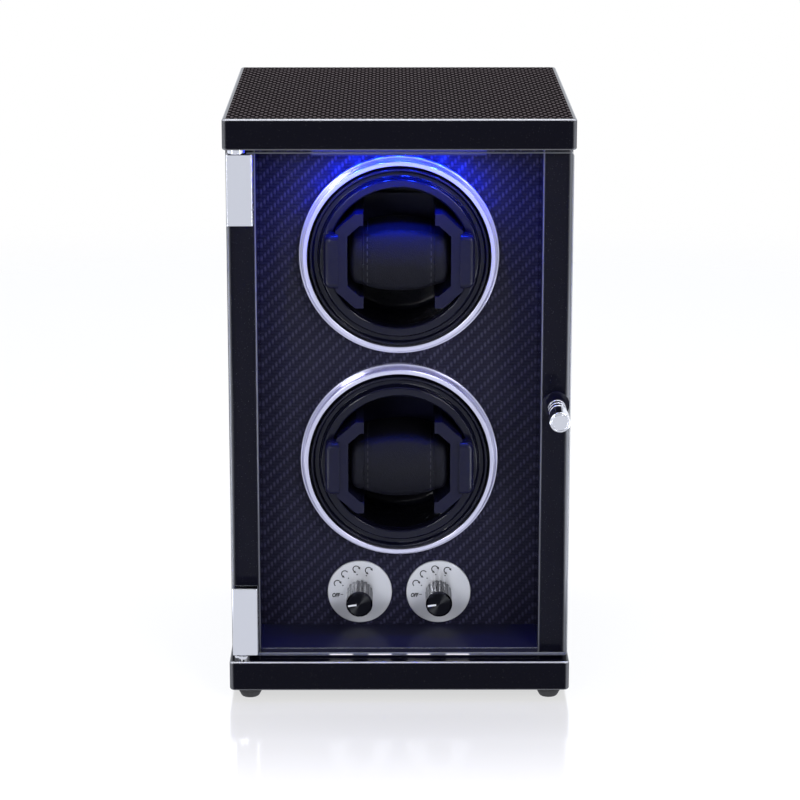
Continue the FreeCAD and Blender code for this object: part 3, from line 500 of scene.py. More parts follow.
@dataclass(frozen=True)
class KnobMetal(Metal):
    """Plated knob: a dark face with a faint painted sheen of two spun rays, brighter round its side."""

    side: Colour = shade(46, 46, 54)
    # Strength, angle and sharpness of the painted sheen on the face.
    painted_sheen: float = 0.05
    painted_sheen_angle: float = math.radians(45)
    painted_sheen_power: float = 9.0
    face_turn: Flat = (0.75, 0.97)

    def paint(self, web: Web) -> Paint:
        """Colour of the face, with its painted sheen, and of the side.

        Args:
            web: Nodes of the material.

        Returns:
            The colour.
        """
        _, angle = self.round_axis(web)
        # Painted highlight: two faint pale rays across the face, fixed to the knob.
        rays = web.maths("COSINE", angle - self.painted_sheen_angle) ** 2
        face = web.mix(self.painted_sheen * rays ** self.painted_sheen_power, self.colour, WHITE)
        _, facing, _ = web.split(web.node("ShaderNodeTexCoord", out="Normal"))
        return web.mix(web.smooth(abs(facing), *self.face_turn), self.side, face)


@dataclass(frozen=True)
class Moulded(Finish):
    """Moulded plastic or rubber: fine mould texture, flow marks and a little bloom."""

    shine: float = 0.5
    texture: float = 0.5 * MM
    depth: float = 0.002 * MM
    flow: float = 20 * MM
    bloom: Colour = shade(70, 70, 74)
    bloom_share: float = 0.12
    dull: float = 0.12
    arris: float = 0.2 * MM

    def surface(self, web: Web) -> Wire:
        """Shader of the moulding.

        Args:
            web: Nodes of the material.

        Returns:
            The shader.
        """
        flow = web.noise(self.flow, detail=4)
        texture = web.noise(self.texture, detail=2)
        return web.principled({
            "Base Color": web.mix(self.bloom_share * flow * texture, self.colour, self.bloom),
            "Roughness": self.roughness + self.dull * flow * texture,
            "Specular IOR Level": self.shine,
            "Normal": web.bump(texture, self.depth, web.softened(self.arris)),
        })


@dataclass(frozen=True)
class Leather(Finish):
    """Soft leather: pebbled grain with creases between the cells."""

    grain: float = 0.9 * MM
    relief: float = 0.07 * MM
    pebble_edge: float = 0.32
    crease: float = 9 * MM
    crease_share: float = 0.8
    dull: float = 0.2
    # Wear on the pebble tops, tinted navy as painted light of the blue strip.
    rubbed: Colour = shade(18, 18, 31)
    shine: float = 0.16

    def surface(self, web: Web) -> Wire:
        """Shader of the leather.

        Args:
            web: Nodes of the material.

        Returns:
            The shader.
        """
        warp = web.node("ShaderNodeTexNoise", {}, {"Vector": web.place(), "Scale": 1 / self.crease},
                        out="Color")
        vector = web.node("ShaderNodeVectorMath", {"operation": "MULTIPLY_ADD"},
                          {0: warp, 1: (self.grain,) * 3, 2: web.place()})
        cells = web.node("ShaderNodeTexVoronoi", {"feature": "DISTANCE_TO_EDGE"},
                         {"Vector": vector, "Scale": 1 / self.grain})
        pebble = web.smooth(cells, 0.0, self.pebble_edge)
        crease = web.noise(self.crease, detail=6)
        return web.principled({
            "Base Color": web.mix(pebble * crease, self.colour, self.rubbed),
            "Roughness": self.roughness + self.dull * (1 - pebble) * crease,
            "Specular IOR Level": self.shine,
            "Normal": web.bump(pebble + self.crease_share * crease, self.relief),
        })


@dataclass(frozen=True)
class Thread(Finish):
    """Sewing thread with its twist, painted lighter along the twist's ridges as a highlight."""

    twist: float = 0.35 * MM
    # Colour of the painted highlight on the ridges of the twist.
    light: Colour = shade(46, 46, 54)
    relief: float = 0.04 * MM
    dull: float = 0.2

    def surface(self, web: Web) -> Wire:
        """Shader of the thread.

        Args:
            web: Nodes of the material.

        Returns:
            The shader.
        """
        x, y, z = web.split(web.place())
        strands = 0.5 + 0.5 * web.maths("SINE", (x + y + z) * (math.tau / self.twist))
        return web.principled({
            # Painted highlight: the thread is lighter on the ridges of its twist.
            "Base Color": web.mix(strands, self.colour, self.light),
            "Roughness": self.roughness + self.dull * strands,
            "Normal": web.bump(strands, self.relief),
        })


@dataclass(frozen=True)
class Ink(Finish):
    """Screen-printed ink or enamel, a little uneven."""

    thin: Colour = shade(60, 60, 64)
    thin_share: float = 0.35
    mesh: float = 0.18 * MM
    relief: float = 0.004 * MM
    dull: float = 0.2

    def surface(self, web: Web) -> Wire:
        """Shader of the ink.

        Args:
            web: Nodes of the material.

        Returns:
            The shader.
        """
        cover = web.noise(self.mesh, detail=3)
        return web.principled({
            "Base Color": web.mix(self.thin_share * cover, self.colour, self.thin),
            "Roughness": self.roughness + self.dull * cover,
            "Normal": web.bump(cover, self.relief),
        })


@dataclass(frozen=True)
class Pane(Finish):
    """Clear plate glass with pale polished edges and painted glints of the chips glowing on its lower edge.
    """

    tint: Colour = (0.985, 0.992, 0.995)
    graze: float = 0.55
    graze_power: float = 5.0
    smear: float = 40 * MM
    smear_span: Flat = (0.7, 1.3)
    edge_turn: Flat = (0.85, 0.99)
    edge_share: float = 0.75
    # Depth and height of the lower edge, where the painted glints lie.
    sill: Flat = (0.0, 0.0)
    # Size, spacing, spread, cut-off, colour and glow of the painted glints of the chips.
    glint_width: float = 2.2 * MM
    glint_pitch: float = 20.6 * MM
    glint_reach: float = 41.2 * MM
    glint_level: Flat = (0.55, 0.75)
    glint_colour: Colour = (1.0, 0.96, 1.0)
    glint_strength: float = 1.2

    def painted_chip_glints(self, web: Web) -> Wire:
        """Painted glints of the chips: one glowing dash for each chip along the lower edge.

        Args:
            web: Nodes of the material.

        Returns:
            1 on a dash, else 0.
        """
        x, y, z = web.split(web.place())
        depth, height = self.sill
        glint_dashes = web.smooth(hump((x / self.glint_pitch) % 1), *self.glint_level)
        line = (abs(y - depth) < self.glint_width / 2) * (z < height + self.glint_width)
        return glint_dashes * line * (abs(x) < self.glint_reach)

    def surface(self, web: Web) -> Wire:
        """Shader of the glass: faces that show what is behind them, and bright edges with painted glints of
        the chips on the lower one.

        Args:
            web: Nodes of the material.

        Returns:
            The shader.
        """
        _, facing, _ = web.split(web.node("ShaderNodeTexCoord", out="Normal"))
        edge = 1 - web.smooth(abs(facing), *self.edge_turn)
        slant = web.node("ShaderNodeLayerWeight", out="Facing")
        smears = web.noise(self.smear, detail=5)
        clean, smeared = self.smear_span
        mirror = web.node("ShaderNodeBsdfGlossy", {}, {"Color": WHITE, "Roughness": 0.0})
        clear = web.node("ShaderNodeBsdfTransparent", {}, {"Color": self.tint})
        gloss = self.graze * (clean + (smeared - clean) * smears) * slant ** self.graze_power
        face = web.blended(gloss, clear, mirror)
        rim = web.principled({
            "Base Color": web.mix(smears, self.colour, DUST),
            "Roughness": self.roughness,
            # Painted glints of the chips glow on the lower edge, also with the door open.
            "Emission Color": web.mix(self.painted_chip_glints(web), BLACK, self.glint_colour),
            "Emission Strength": self.glint_strength,
        })
        return web.blended(edge * self.edge_share, face, rim)


@dataclass(frozen=True)
class Glow(Finish):
    """Light chip or strip: a bright core that falls off to a coloured rim."""

    strength: float
    core: Colour = LIGHT_CORE
    cell: float = 1.1 * MM
    cell_edge: Flat = (0.1, 0.7)
    dull: float = 0.2

    def surface(self, web: Web) -> Wire:
        """Shader of the light.

        Args:
            web: Nodes of the material.

        Returns:
            The shader.
        """
        cells = web.node("ShaderNodeTexVoronoi", {}, {"Vector": web.place(), "Scale": 1 / self.cell})
        glow = 1 - web.smooth(cells, *self.cell_edge)
        return web.principled({
            "Base Color": self.colour,
            "Roughness": self.roughness + self.dull * glow,
            "Emission Color": web.mix(glow, self.colour, self.core),
            "Emission Strength": self.strength,
        })


@dataclass(frozen=True)
class Board(Finish):
    """Circuit board: solder mask over fine copper tracks."""

    track: Colour = shade(24, 104, 58)
    pitch: float = 2.5 * MM
    bend: float = 12 * MM
    bends: int = 6
    track_level: float = 0.82
    relief: float = 0.03 * MM
    dull: float = 0.1

    def surface(self, web: Web) -> Wire:
        """Shader of the board.

        Args:
            web: Nodes of the material.

        Returns:
            The shader.
        """
        bends = web.noise(self.bend, detail=0) * self.bends
        x, y, _ = web.split(web.place())
        tracks = hump(((x + y) / self.pitch + math.floor(bends) / 2) % 1) > self.track_level
        return web.principled({
            "Base Color": web.mix(tracks, self.colour, self.track),
            "Roughness": self.roughness + self.dull * tracks,
            "Normal": web.bump(tracks, self.relief),
        })


@dataclass(frozen=True)
class StudioFloor(Finish):
    """White lit table, a little glossy, that fades into the white background.

    Polished pieces see it dimmer, with a bright card lying on either side of the object.
    """

    glow: float = 0.85
    mirror: float = 0.26
    mirror_fade: Flat = (-0.24, -0.1)
    dim: float = 0.75
    cards: Flat = (3.5, 5.5)
    card_edge: Flat = (0.2, 0.3)
    card_back: Flat = (0.3, 0.18)
    card_front: Flat = (0.75, 0.6)
    clear: Flat = (1.0, 1.35)

    def surface(self, web: Web) -> Wire:
        """Shader of the table.

        Args:
            web: Nodes of the material.

        Returns:
            The shader.
        """
        x, y, _ = web.split(web.place())
        distance = (x * x + y * y) ** 0.5
        paper = web.principled({
            "Base Color": self.colour,
            "Roughness": 1.0,
            "Specular IOR Level": 0.0,
            "Emission Color": WHITE,
            "Emission Strength": self.glow,
        })
        mirror = web.node("ShaderNodeBsdfGlossy", {}, {"Color": WHITE, "Roughness": self.roughness})
        table = web.blended(self.mirror * web.smooth(y, *self.mirror_fade), paper, mirror)
        lit = web.node("ShaderNodeEmission", {}, {"Color": COOL, "Strength": self.dim})
        reach = web.smooth(y, *self.card_back) * web.smooth(-1 * y, *self.card_front)
        for sense, strength in zip((-1, 1), self.cards):
            card = web.node("ShaderNodeEmission", {}, {"Color": COOL, "Strength": self.dim + strength})
            lit = web.blended(reach * web.smooth(sense * x, *self.card_edge), lit, card)
        table = web.blended(web.node("ShaderNodeLightPath", out="Is Glossy Ray"), table, lit)
        beyond = web.node("ShaderNodeBsdfTransparent", {}, {"Color": WHITE})
        return web.blended(web.smooth(distance, *self.clear), table, beyond)


# Slabs and walls share one black lacquer: the slabs' copy is painted darker and the walls' copy painted
# lighter, as shade and light.
BLACK_LACQUER = Lacquer("black_lacquer", shade(4, 4, 15), 0.04)
LIT_WALL_LACQUER = Lacquer("lit_wall_lacquer", shade(17, 17, 28), 0.04)
# The floor board's copy of the black lacquer is painted lighter and navy: painted light of the blue strip.
LIT_FLOOR_LACQUER = Lacquer("lit_floor_lacquer", shade(36, 36, 56), 0.2, haze_share=0.2, shine=0.05)
# Navy tint of the panel twill: painted light of the blue strip.
PANEL_TWILL = Weave("panel_twill", shade(18, 17, 36), 0.36, crest_sheen=shade(58, 57, 82), shine=0.11)
TOP_WEAVE = Weave("top_weave", shade(16, 14, 16), 0.5, crest_sheen=shade(126, 118, 123), tow=(2.1 * MM, 4.7 * MM),
                  repeat=2, lay=Lay.LEVEL, weft_share=0.05, shine=0.0)
BACK_BOARD = Moulded("back_board", shade(20, 20, 21), 0.55, texture=0.9 * MM, depth=0.02 * MM)
FOOT_RUBBER = Moulded("foot_rubber", shade(38, 38, 40), 0.6, texture=0.35 * MM, depth=0.015 * MM)
BELT_RUBBER = Moulded("belt_rubber", shade(24, 24, 24), 0.5, texture=0.3 * MM, depth=0.01 * MM)
CHROME = Metal("chrome", shade(232, 233, 240), 0.04)
# Lavender tint of the ring chrome: painted tint of the bluish light it reflects.
RING_CHROME = Metal("ring_chrome", shade(222, 220, 247), 0.07, metallic=0.62)
STEEL = Metal("steel", shade(186, 188, 192), 0.22, depth=0.003 * MM)
BRONZE = Metal("bronze", shade(178, 138, 82), 0.38, grain=Grain.CAST, line=0.4 * MM, depth=0.02 * MM)
ANODISED = Metal("anodised", shade(60, 60, 64), 0.38, depth=0.003 * MM)
# Navy tint of the tray, rim and cup blacks, also on the strike plate: painted light of the blue strip.
TRAY_BLACK = Moulded("tray_black", shade(17, 17, 43), 0.2, shine=0.2, texture=2.5 * MM)
RIM_BLACK = Moulded("rim_black", shade(11, 11, 32), 0.08, shine=0.26, texture=2.5 * MM)
CUP_BLACK = Moulded("cup_black", shade(8, 8, 21), 0.25, shine=0.16, texture=0.4 * MM, depth=0.004 * MM)
HOUSING = Moulded("housing", shade(36, 36, 38), 0.5, depth=0.012 * MM)
BOARD_BLACK = Moulded("board_black", shade(24, 24, 25), 0.45, depth=0.01 * MM)
# Navy tint of the cushion leather: painted light of the blue strip.
CUSHION_LEATHER = Leather("cushion_leather", shade(7, 7, 17), 0.55)
CUSHION_THREAD = Thread("cushion_thread", shade(22, 22, 27), 0.55)
LIGHT_STRIP = Glow("light_strip", (0.1, 0.25, 1.0), 0.4, strength=1.5)
LIGHT_CHIP = Glow("light_chip", LIGHT_BLUE, 0.2, strength=12.0)
CIRCUIT = Board("circuit", shade(16, 84, 44), 0.35)
BLACK_INK = Ink("black_ink", shade(14, 14, 16), 0.35)
WHITE_INK = Ink("white_ink", shade(236, 236, 244), 0.35, thin=shade(214, 214, 226))
GLASS = Pane("glass", shade(112, 120, 134), 0.16)
DIAL_PLATE = Metal("dial_plate", shade(220, 220, 228), 0.16, grain=Grain.SPUN, metallic=0.33)
KNOB_CHROME = KnobMetal("knob_chrome", shade(22, 22, 28), 0.1, grain=Grain.SPUN, depth=0.002 * MM)
TABLE = StudioFloor("table", (0.25, 0.25, 0.25), 0.1)


def dress(finish: Finish, *nodes: str) -> None:
    """Gives construction nodes a finish.

    Args:
        finish: The finish.
        nodes: Names of the nodes.
    """
    for name in nodes:
        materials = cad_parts[name].data.materials
        materials.clear()
        materials.append(material_of(finish))
        LOG.info("%s: %s", name, finish.name)


def middle(node: str) -> Vector:
    """Middle of a node's box."""
    low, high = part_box(node)
    return (low + high) / 2


def islands(node: str) -> list[tuple[Vector, Vector]]:
    """Boxes of the separate solids in one node.

    Args:
        node: Name of the node.

    Returns:
        Lowest and highest corner of each solid, from left to right and bottom to top.
    """
    bm = bmesh.new()
    bm.from_mesh(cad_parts[node].data)
    bmesh.ops.remove_doubles(bm, verts=bm.verts, dist=MERGE)
    left = set(bm.verts)
    boxes = []
    while left:
        found, edge = [], [left.pop()]
        while edge:
            vert = edge.pop()
            found.append(vert.co.copy())
            near = {e.other_vert(vert) for e in vert.link_edges} & left
            left -= near
            edge.extend(near)
        boxes.append((Vector(map(min, *found)), Vector(map(max, *found))))
    bm.free()
    return sorted(boxes, key=lambda box: [round(box[0][axis] / SORT_STEP) for axis in (0, 2, 1)])


def placed(name: str, data: bpy.types.ID) -> bpy.types.Object:
    """Makes an object and links it to the scene.

    Args:
        name: Its name.
        data: Its mesh, letters, lamp or camera.

    Returns:
        The object.
    """
    made = bpy.data.objects.new(name, data)
    bpy.context.scene.collection.objects.link(made)
    return made


def new_piece(name: str, bm: bmesh.types.BMesh, finish: Finish, body: str) -> bpy.types.Object:
    """Turns a built mesh into a piece that rides on a body.

    Args:
        name: The piece's name.
        bm: The mesh, which is freed.
        finish: Its finish.
        body: The body that carries it.

    Returns:
        The piece.
    """
    bmesh.ops.recalc_face_normals(bm, faces=bm.faces)
    mesh = bpy.data.meshes.new(name)
    bm.to_mesh(mesh)
    bm.free()
    mesh.shade_smooth()
    mesh.set_sharp_from_angle(angle=CREASE)
    mesh.materials.append(material_of(finish))
    piece = placed(name, mesh)
    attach(piece, body)
    LOG.info("%s rides on %s", name, body)
    return piece


def add_loop(bm: bmesh.types.BMesh, outline: Sequence[Flat], to_space: Matrix,
             height: float = 0.0) -> list[bmesh.types.BMVert]:
    """Adds the corners of an outline.

    Args:
        bm: Mesh to add to.
        outline: Corners in order.
        to_space: Where the outline's plane lies.
        height: Height above that plane, along its third axis.

    Returns:
        The new corners in the same order.
    """
    return [bm.verts.new(to_space @ Vector((u, v, height))) for u, v in outline]


def bridge(bm: bmesh.types.BMesh, low: Sequence[bmesh.types.BMVert],
           high: Sequence[bmesh.types.BMVert]) -> None:
    """Adds the faces between two loops of as many corners."""
    for here in range(len(low)):
        bm.faces.new((low[here - 1], low[here], high[here], high[here - 1]))


def add_prism(bm: bmesh.types.BMesh, outline: Sequence[Flat], to_space: Matrix, thickness: float) -> None:
    """Adds a flat closed prism.

    Args:
        bm: Mesh to add to.
        outline: Corners in order.
        to_space: Where the outline's plane lies. The prism rises along its third axis.
        thickness: Height of the prism.
    """
    low, high = (add_loop(bm, outline, to_space, height) for height in (0.0, thickness))
    bm.faces.new(reversed(low))
    bm.faces.new(high)
    bridge(bm, low, high)


def arc(radius: float, start: float, end: float, steps: int, centre: Flat = (0.0, 0.0)) -> list[Flat]:
    """Points along an arc.

    Args:
        radius: Its radius.
        start: First angle in degrees.
        end: Last angle in degrees.
        steps: Number of steps.
        centre: Its centre.

    Returns:
        The points, both ends included.
    """
    angles = [math.radians(start + (end - start) * step / steps) for step in range(steps + 1)]
    return [(centre[0] + radius * math.cos(a), centre[1] + radius * math.sin(a)) for a in angles]


def polygon(radius: float, sides: int, centre: Flat = (0.0, 0.0)) -> list[Flat]:
    """Corners of a regular polygon, from its right."""
    return arc(radius, 0, 360 * (1 - 1 / sides), sides - 1, centre)


def rectangle(size: Flat, centre: Flat = (0.0, 0.0)) -> list[Flat]:
    """Corners of a rectangle, from its lower left."""
    corners = ((-0.5, -0.5), (0.5, -0.5), (0.5, 0.5), (-0.5, 0.5))
    return [(centre[0] + u * size[0], centre[1] + v * size[1]) for u, v in corners]


def turned_to(place: Point, aim: Point) -> Euler:
    """Rotation of a lamp or camera that looks from a place at a point."""
    return (Vector(aim) - Vector(place)).to_track_quat("-Z", "Y").to_euler()


class LampKind(Enum):
    """How a lamp gives its light."""

    AREA = "AREA"
    POINT = "POINT"


def add_lamp(name: str, kind: LampKind, place: Sequence[float], power: float,
             colour: Colour) -> bpy.types.Object:
    """Adds one lamp that the camera doesn't see. An area lamp faces down.

    Args:
        name: Its name.
        kind: How it gives its light.
        place: Where it stands.
        power: Its power in watts.
        colour: Colour of its light.

    Returns:
        The lamp.
    """
    lamp = placed(name, bpy.data.lights.new(name, kind.value))
    lamp.data.energy = power
    lamp.data.color = colour
    lamp.location = place
    lamp.visible_camera = False
    return lamp


class Drive(Enum):
    """Recess in a screw's head, as the number of its arms."""

    CROSS = 4
    HEX = 6


@dataclass
class Screws:
    """A set of like screws, with the recess in each head."""

    node: str
    body: str
    axis: Vector
    drive: Drive
    shank: float = 1.45 * MM
    head_height: float = 1.8 * MM
    recess_depth: float = 1.1 * MM
    recess_share: float = 0.62
    arm_share: float = 0.3
    bevel_share: float = 0.12
    sides: int = 24
    finish: Finish = STEEL

    def recess(self, radius: float) -> list[Flat]:
        """Outline of the recess in a head.

        Args:
            radius: Radius of the head.

        Returns:
            Its corners in order.
        """
        reach = radius * self.recess_share
        if self.drive is Drive.HEX:
            return polygon(reach, self.drive.value)
        half = reach * self.arm_share
        arm = [(reach, -half), (reach, half), (half, half)]
        turns = [math.radians(90 * turn) for turn in range(self.drive.value)]
        return [(u * math.cos(t) - v * math.sin(t), u * math.sin(t) + v * math.cos(t))
                for t in turns for u, v in arm]

    def add_screw(self, bm: bmesh.types.BMesh, low: Vector, high: Vector) -> None:
        """Adds one screw.

        Args:
            bm: Mesh to add to.
            low: Lowest corner of the screw's box.
            high: Highest corner.
        """
        along = max(range(3), key=lambda i: abs(self.axis[i]))
        span = high - low
        length = span[along]
        radius = min(span[i] for i in range(3) if i != along) / 2
        outer = (low + high) / 2 + self.axis * length / 2
        to_space = Matrix.Translation(outer) @ self.axis.to_track_quat("Z", "Y").to_matrix().to_4x4()
        shank = min(self.shank, radius)
        bevel = self.bevel_share * radius
        profile = [(radius - bevel, 0.0), (radius, -bevel), (shank, -self.head_height), (shank, -length)]
        if shank == radius:
            profile = [(radius - bevel, 0.0), (radius, -bevel), (radius, -length)]
        rings = [add_loop(bm, polygon(rim, self.sides), to_space, depth) for rim, depth in profile]
        for upper, lower in zip(rings, rings[1:]):
            bridge(bm, upper, lower)
        bm.faces.new(rings[-1])
        outline = self.recess(radius)
        top, deep = (add_loop(bm, outline, to_space, depth) for depth in (0.0, -self.recess_depth))
        bridge(bm, top, deep)
        bm.faces.new(deep)
        rims = [bm.edges.get((loop[here - 1], loop[here])) for loop in (rings[0], top)
                for here in range(len(loop))]
        bmesh.ops.triangle_fill(bm, edges=rims, use_beauty=True)

    def build(self) -> None:
        """Makes the set and hides the plain one."""
        bm = bmesh.new()
        for low, high in islands(self.node):
            self.add_screw(bm, low, high)
        piece = new_piece(f"{self.node}_driven", bm, self.finish, self.body)
        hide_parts(self.node)


@dataclass
class Cabinet:
    """Slabs, walls, panels and feet, with what is hidden inside."""

    def build(self) -> None:
        """Makes the screws that show at the back and under the feet."""
        Screws("back_panel_screws", CABINET, Vector((0, 1, 0)), Drive.CROSS).build()
        Screws("foot_screws", CABINET, Vector((0, 0, -1)), Drive.CROSS).build()

    def dress(self) -> None:
        """Gives each board its finish."""
        dress(BLACK_LACQUER, "top_slab", "base_slab")
        dress(LIT_WALL_LACQUER, "left_wall", "right_wall")
        dress(LIT_FLOOR_LACQUER, "floor_board")
        dress(TOP_WEAVE, "top_inlay")
        dress(PANEL_TWILL, "front_panel")
        dress(BACK_BOARD, "back_panel")
        dress(FOOT_RUBBER, "feet")
        dress(STEEL, "housing_screws", "catch_magnet", "switch_nuts")
        dress(HOUSING, "motor_mounts")
        dress(BELT_RUBBER, "drive_belts")
        dress(BRONZE, "shaft_bushes")
        dress(CIRCUIT, "control_board")
        dress(BOARD_BLACK, "board_parts", "dc_jack")


@dataclass
class LightStrip:
    """Blue light under the top: a small lamp below each chip, and what glass and ring throw back."""

    power: float = 0.075
    drop: float = 0.6 * MM
    side: float = 5.0 * MM
    bounce_power: float = 0.03
    bounce_size: Flat = (110 * MM, 5 * MM)
    bounce_tilt: float = math.radians(75)
    ring: str = "upper_bezel_ring"
    halo_power: float = 0.027
    halo_fall: float = 4.0
    halo_span: Flat = (30.0, 150.0)
    halo_count: int = 10
    halo_room: float = 3.2 * MM
    halo_lift: float = 4.0 * MM
    halo_radius: float = 3.0 * MM

    def build(self) -> None:
        """Makes the lamps."""
        chips = islands("led_chips")
        for number, (low, high) in enumerate(chips):
            place = (low + high) / 2
            place.z = low.z - self.drop
            lamp = add_lamp(f"chip_lamp_{number}", LampKind.AREA, place, self.power, LIGHT_BLUE)
            lamp.data.size = self.side
        self.build_bounce(chips[0][0].z)
        self.build_halo()

    def build_bounce(self, height: float) -> None:
        """Makes the strip's image in the glass.

        Args:
            height: Height of the chips.
        """
        place = (0.0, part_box("door_glass")[1].y + self.drop, height)
        lamp = add_lamp("glass_bounce", LampKind.AREA, place, self.bounce_power, LIGHT_BLUE)
        lamp.data.shape = "RECTANGLE"
        lamp.data.size, lamp.data.size_y = self.bounce_size
        lamp.rotation_euler.x = self.bounce_tilt

    def build_halo(self) -> None:
        """Makes the light that the ring throws onto the panel, weaker away from the ring's top."""
        low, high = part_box(self.ring)
        radius = (high.x - low.x) / 2 + self.halo_room
        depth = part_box("front_panel")[0].y - self.halo_lift
        centre = middle(self.ring)
        for number, (u, v) in enumerate(arc(radius, *self.halo_span, self.halo_count)):
            place = (centre.x + u, depth, centre.z + v)
            power = self.halo_power * (v / radius) ** self.halo_fall
            lamp = add_lamp(f"halo_lamp_{number}", LampKind.POINT, place, power, LIGHT_BLUE)
            lamp.data.shadow_soft_size = self.halo_radius

    def dress(self) -> None:
        """Finishes of the channel, the strip and its chips."""
        dress(ANODISED, "led_channel")
        dress(LIGHT_STRIP, "led_strip")
        dress(LIGHT_CHIP, "led_chips")


@dataclass
class Door:
    """Glass door on its pivots, with clamps, knob and catch."""

    body: str = "door"

    def build(self) -> None:
        """Makes the screws that hold the clamps and the knob."""
        inward = Vector((0, 1, 0))
        Screws("clamp_screws", self.body, inward, Drive.HEX, recess_depth=0.8 * MM).build()
        Screws("knob_screw", self.body, inward, Drive.CROSS).build()

    def dress(self) -> None:
        """Finishes of the glass and its fittings."""
        sill = (middle("door_glass").y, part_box("door_glass")[0].z)
        dress(replace(GLASS, sill=sill), "door_glass")
        dress(CHROME, "upper_hinge_clamp", "lower_hinge_clamp", "door_knob", "door_pivots")
        dress(RIM_BLACK, "strike_plate")


@dataclass
class Cushion:
    """One crowned cushion, blown up by a short cloth simulation and sewn near both ends."""

    level: str
    shrink: float = 0.955
    voxel: float = 2.4 * MM
    pressure: float = 4.0
    frames: int = 20
    swell: float = 1.6 * MM
    clearance: float = 0.25 * MM
    smoothing: int = 3
    smooth_share: float = 0.5
    seam_share: float = 0.7
    seam_depth: float = 0.9 * MM
    seam_width: float = 1.5 * MM
    stitch: float = 2.2 * MM
    stitch_gap: float = 1.2 * MM
    row_points: int = 240
    thread: float = 0.32 * MM
    thread_end: float = 0.6
    tube_sides: int = 6
    seam_to_stitch: float = 2.1 * MM
    bead: float = 0.5 * MM
    bead_points: int = 96
    fill: float = 0.8

    @property
    def node(self) -> str:
        """Name of the construction node that the cushion stands for."""
        return f"{self.level}_watch_cushion"

    @property
    def body(self) -> str:
        """Body that carries the cushion."""
        return f"{self.level}_holder"

    def remeshed(self) -> bpy.types.Object:
        """Copies the node a little smaller and meshes it evenly.

        Returns:
            The copy, linked to the scene.
        """
        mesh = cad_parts[self.node].data.copy()
        centred = Matrix.Translation(middle(self.node))
        mesh.transform(centred @ Matrix.Scale(self.shrink, 4) @ centred.inverted())
        piece = placed(f"{self.level}_soft_cushion", mesh)
        even = piece.modifiers.new("even", "REMESH")
        even.mode = "VOXEL"
        even.voxel_size = self.voxel
        self.apply(piece)
        return piece

    def apply(self, piece: bpy.types.Object) -> None:
        """Replaces the piece's mesh by its evaluated one and drops the modifiers.

        Args:
            piece: The cushion's cover.
        """
        graph = bpy.context.evaluated_depsgraph_get()
        mesh = bpy.data.meshes.new_from_object(piece.evaluated_get(graph))
        piece.modifiers.clear()
        piece.data = mesh

    def inflate(self, piece: bpy.types.Object) -> None:
        """Swells the cover under pressure, within the room that the holder leaves.

        Args:
            piece: The cushion's cover.
        """
        rest = [vert.co.copy() for vert in piece.data.vertices]
        cloth = piece.modifiers.new("cover", "CLOTH")
        cloth.settings.use_pressure = True
        cloth.settings.uniform_pressure_force = self.pressure
        cloth.settings.effector_weights.gravity = 0.0
        scene = bpy.context.scene
        for step in range(1, self.frames + 1):
            scene.frame_set(step)
        self.apply(piece)
        scene.frame_set(1)
        room = Vector((self.clearance,) * 3)
        low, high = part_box(self.node)
        low, high = low + room, high - room
        for vert, start in zip(piece.data.vertices, rest):
            move = vert.co - start
            move.length = min(move.length, self.swell)
            vert.co = Vector(map(min, map(max, start + move, low), high))

    def sew(self, piece: bpy.types.Object) -> None:
        """Smooths the cover and draws it in along the two seams.

        Args:
            piece: The cushion's cover.
        """
        bm = bmesh.new()
        bm.from_mesh(piece.data)
        for _ in range(self.smoothing):
            bmesh.ops.smooth_vert(bm, verts=bm.verts, factor=self.smooth_share, use_axis_x=True,
                                  use_axis_y=True, use_axis_z=True)
        bm.normal_update()
        seams = self.seams()
        for vert in bm.verts:
            for seam in seams:
                nearness = (vert.co.x - seam) / self.seam_width
                vert.co -= vert.normal * self.seam_depth * math.exp(-nearness * nearness)
        bm.to_mesh(piece.data)
        bm.free()

    def seams(self) -> tuple[float, float]:
        """Places of the two seams.

        Returns:
            Where they lie along X.
        """
        low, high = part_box(self.node)
        half = (high.x - low.x) / 2 * self.seam_share
        return middle(self.node).x - half, middle(self.node).x + half

    def girth(self, tree: BVHTree, place: float, steps: int) -> list[Vector]:
        """Points round the cover where a plane across it cuts it.

        Args:
            tree: The cover, for casting rays.
            place: Where the plane lies along X.
            steps: Number of points.

        Returns:
            The points in order.
        """
        centre = middle(self.node)
        centre.x = place
        low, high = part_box(self.node)
        reach = (high - low).length
        found = []
        for step in range(steps):
            turn = math.tau * step / steps
            away = Vector((0.0, math.cos(turn), math.sin(turn)))
            hit = tree.ray_cast(centre + away * reach, -away)[0]
            if hit is not None:
                found.append(hit)
        return found

    def add_tube(self, bm: bmesh.types.BMesh, points: Sequence[Vector], radius: float, closed: bool) -> None:
        """Adds a round tube through points.

        Args:
            bm: Mesh to add to.
            points: Middle line of the tube.
            radius: Its radius.
            closed: Whether it runs back into itself.
        """
        rings = []
        count = len(points)
        for here, point in enumerate(points):
            before = points[here - 1] if closed or here else point
            after = points[(here + 1) % count] if closed or here < count - 1 else point
            turn = (after - before).to_track_quat("Z", "X").to_matrix().to_4x4()
            taper = self.thread_end if not closed and here in (0, count - 1) else 1.0
            outline = polygon(radius * taper, self.tube_sides)
            rings.append(add_loop(bm, outline, Matrix.Translation(point) @ turn))
        for ring, following in zip(rings, rings[1:] + rings[:1] if closed else rings[1:]):
            bridge(bm, ring, following)
        if not closed:
            bm.faces.new(reversed(rings[0]))
            bm.faces.new(rings[-1])

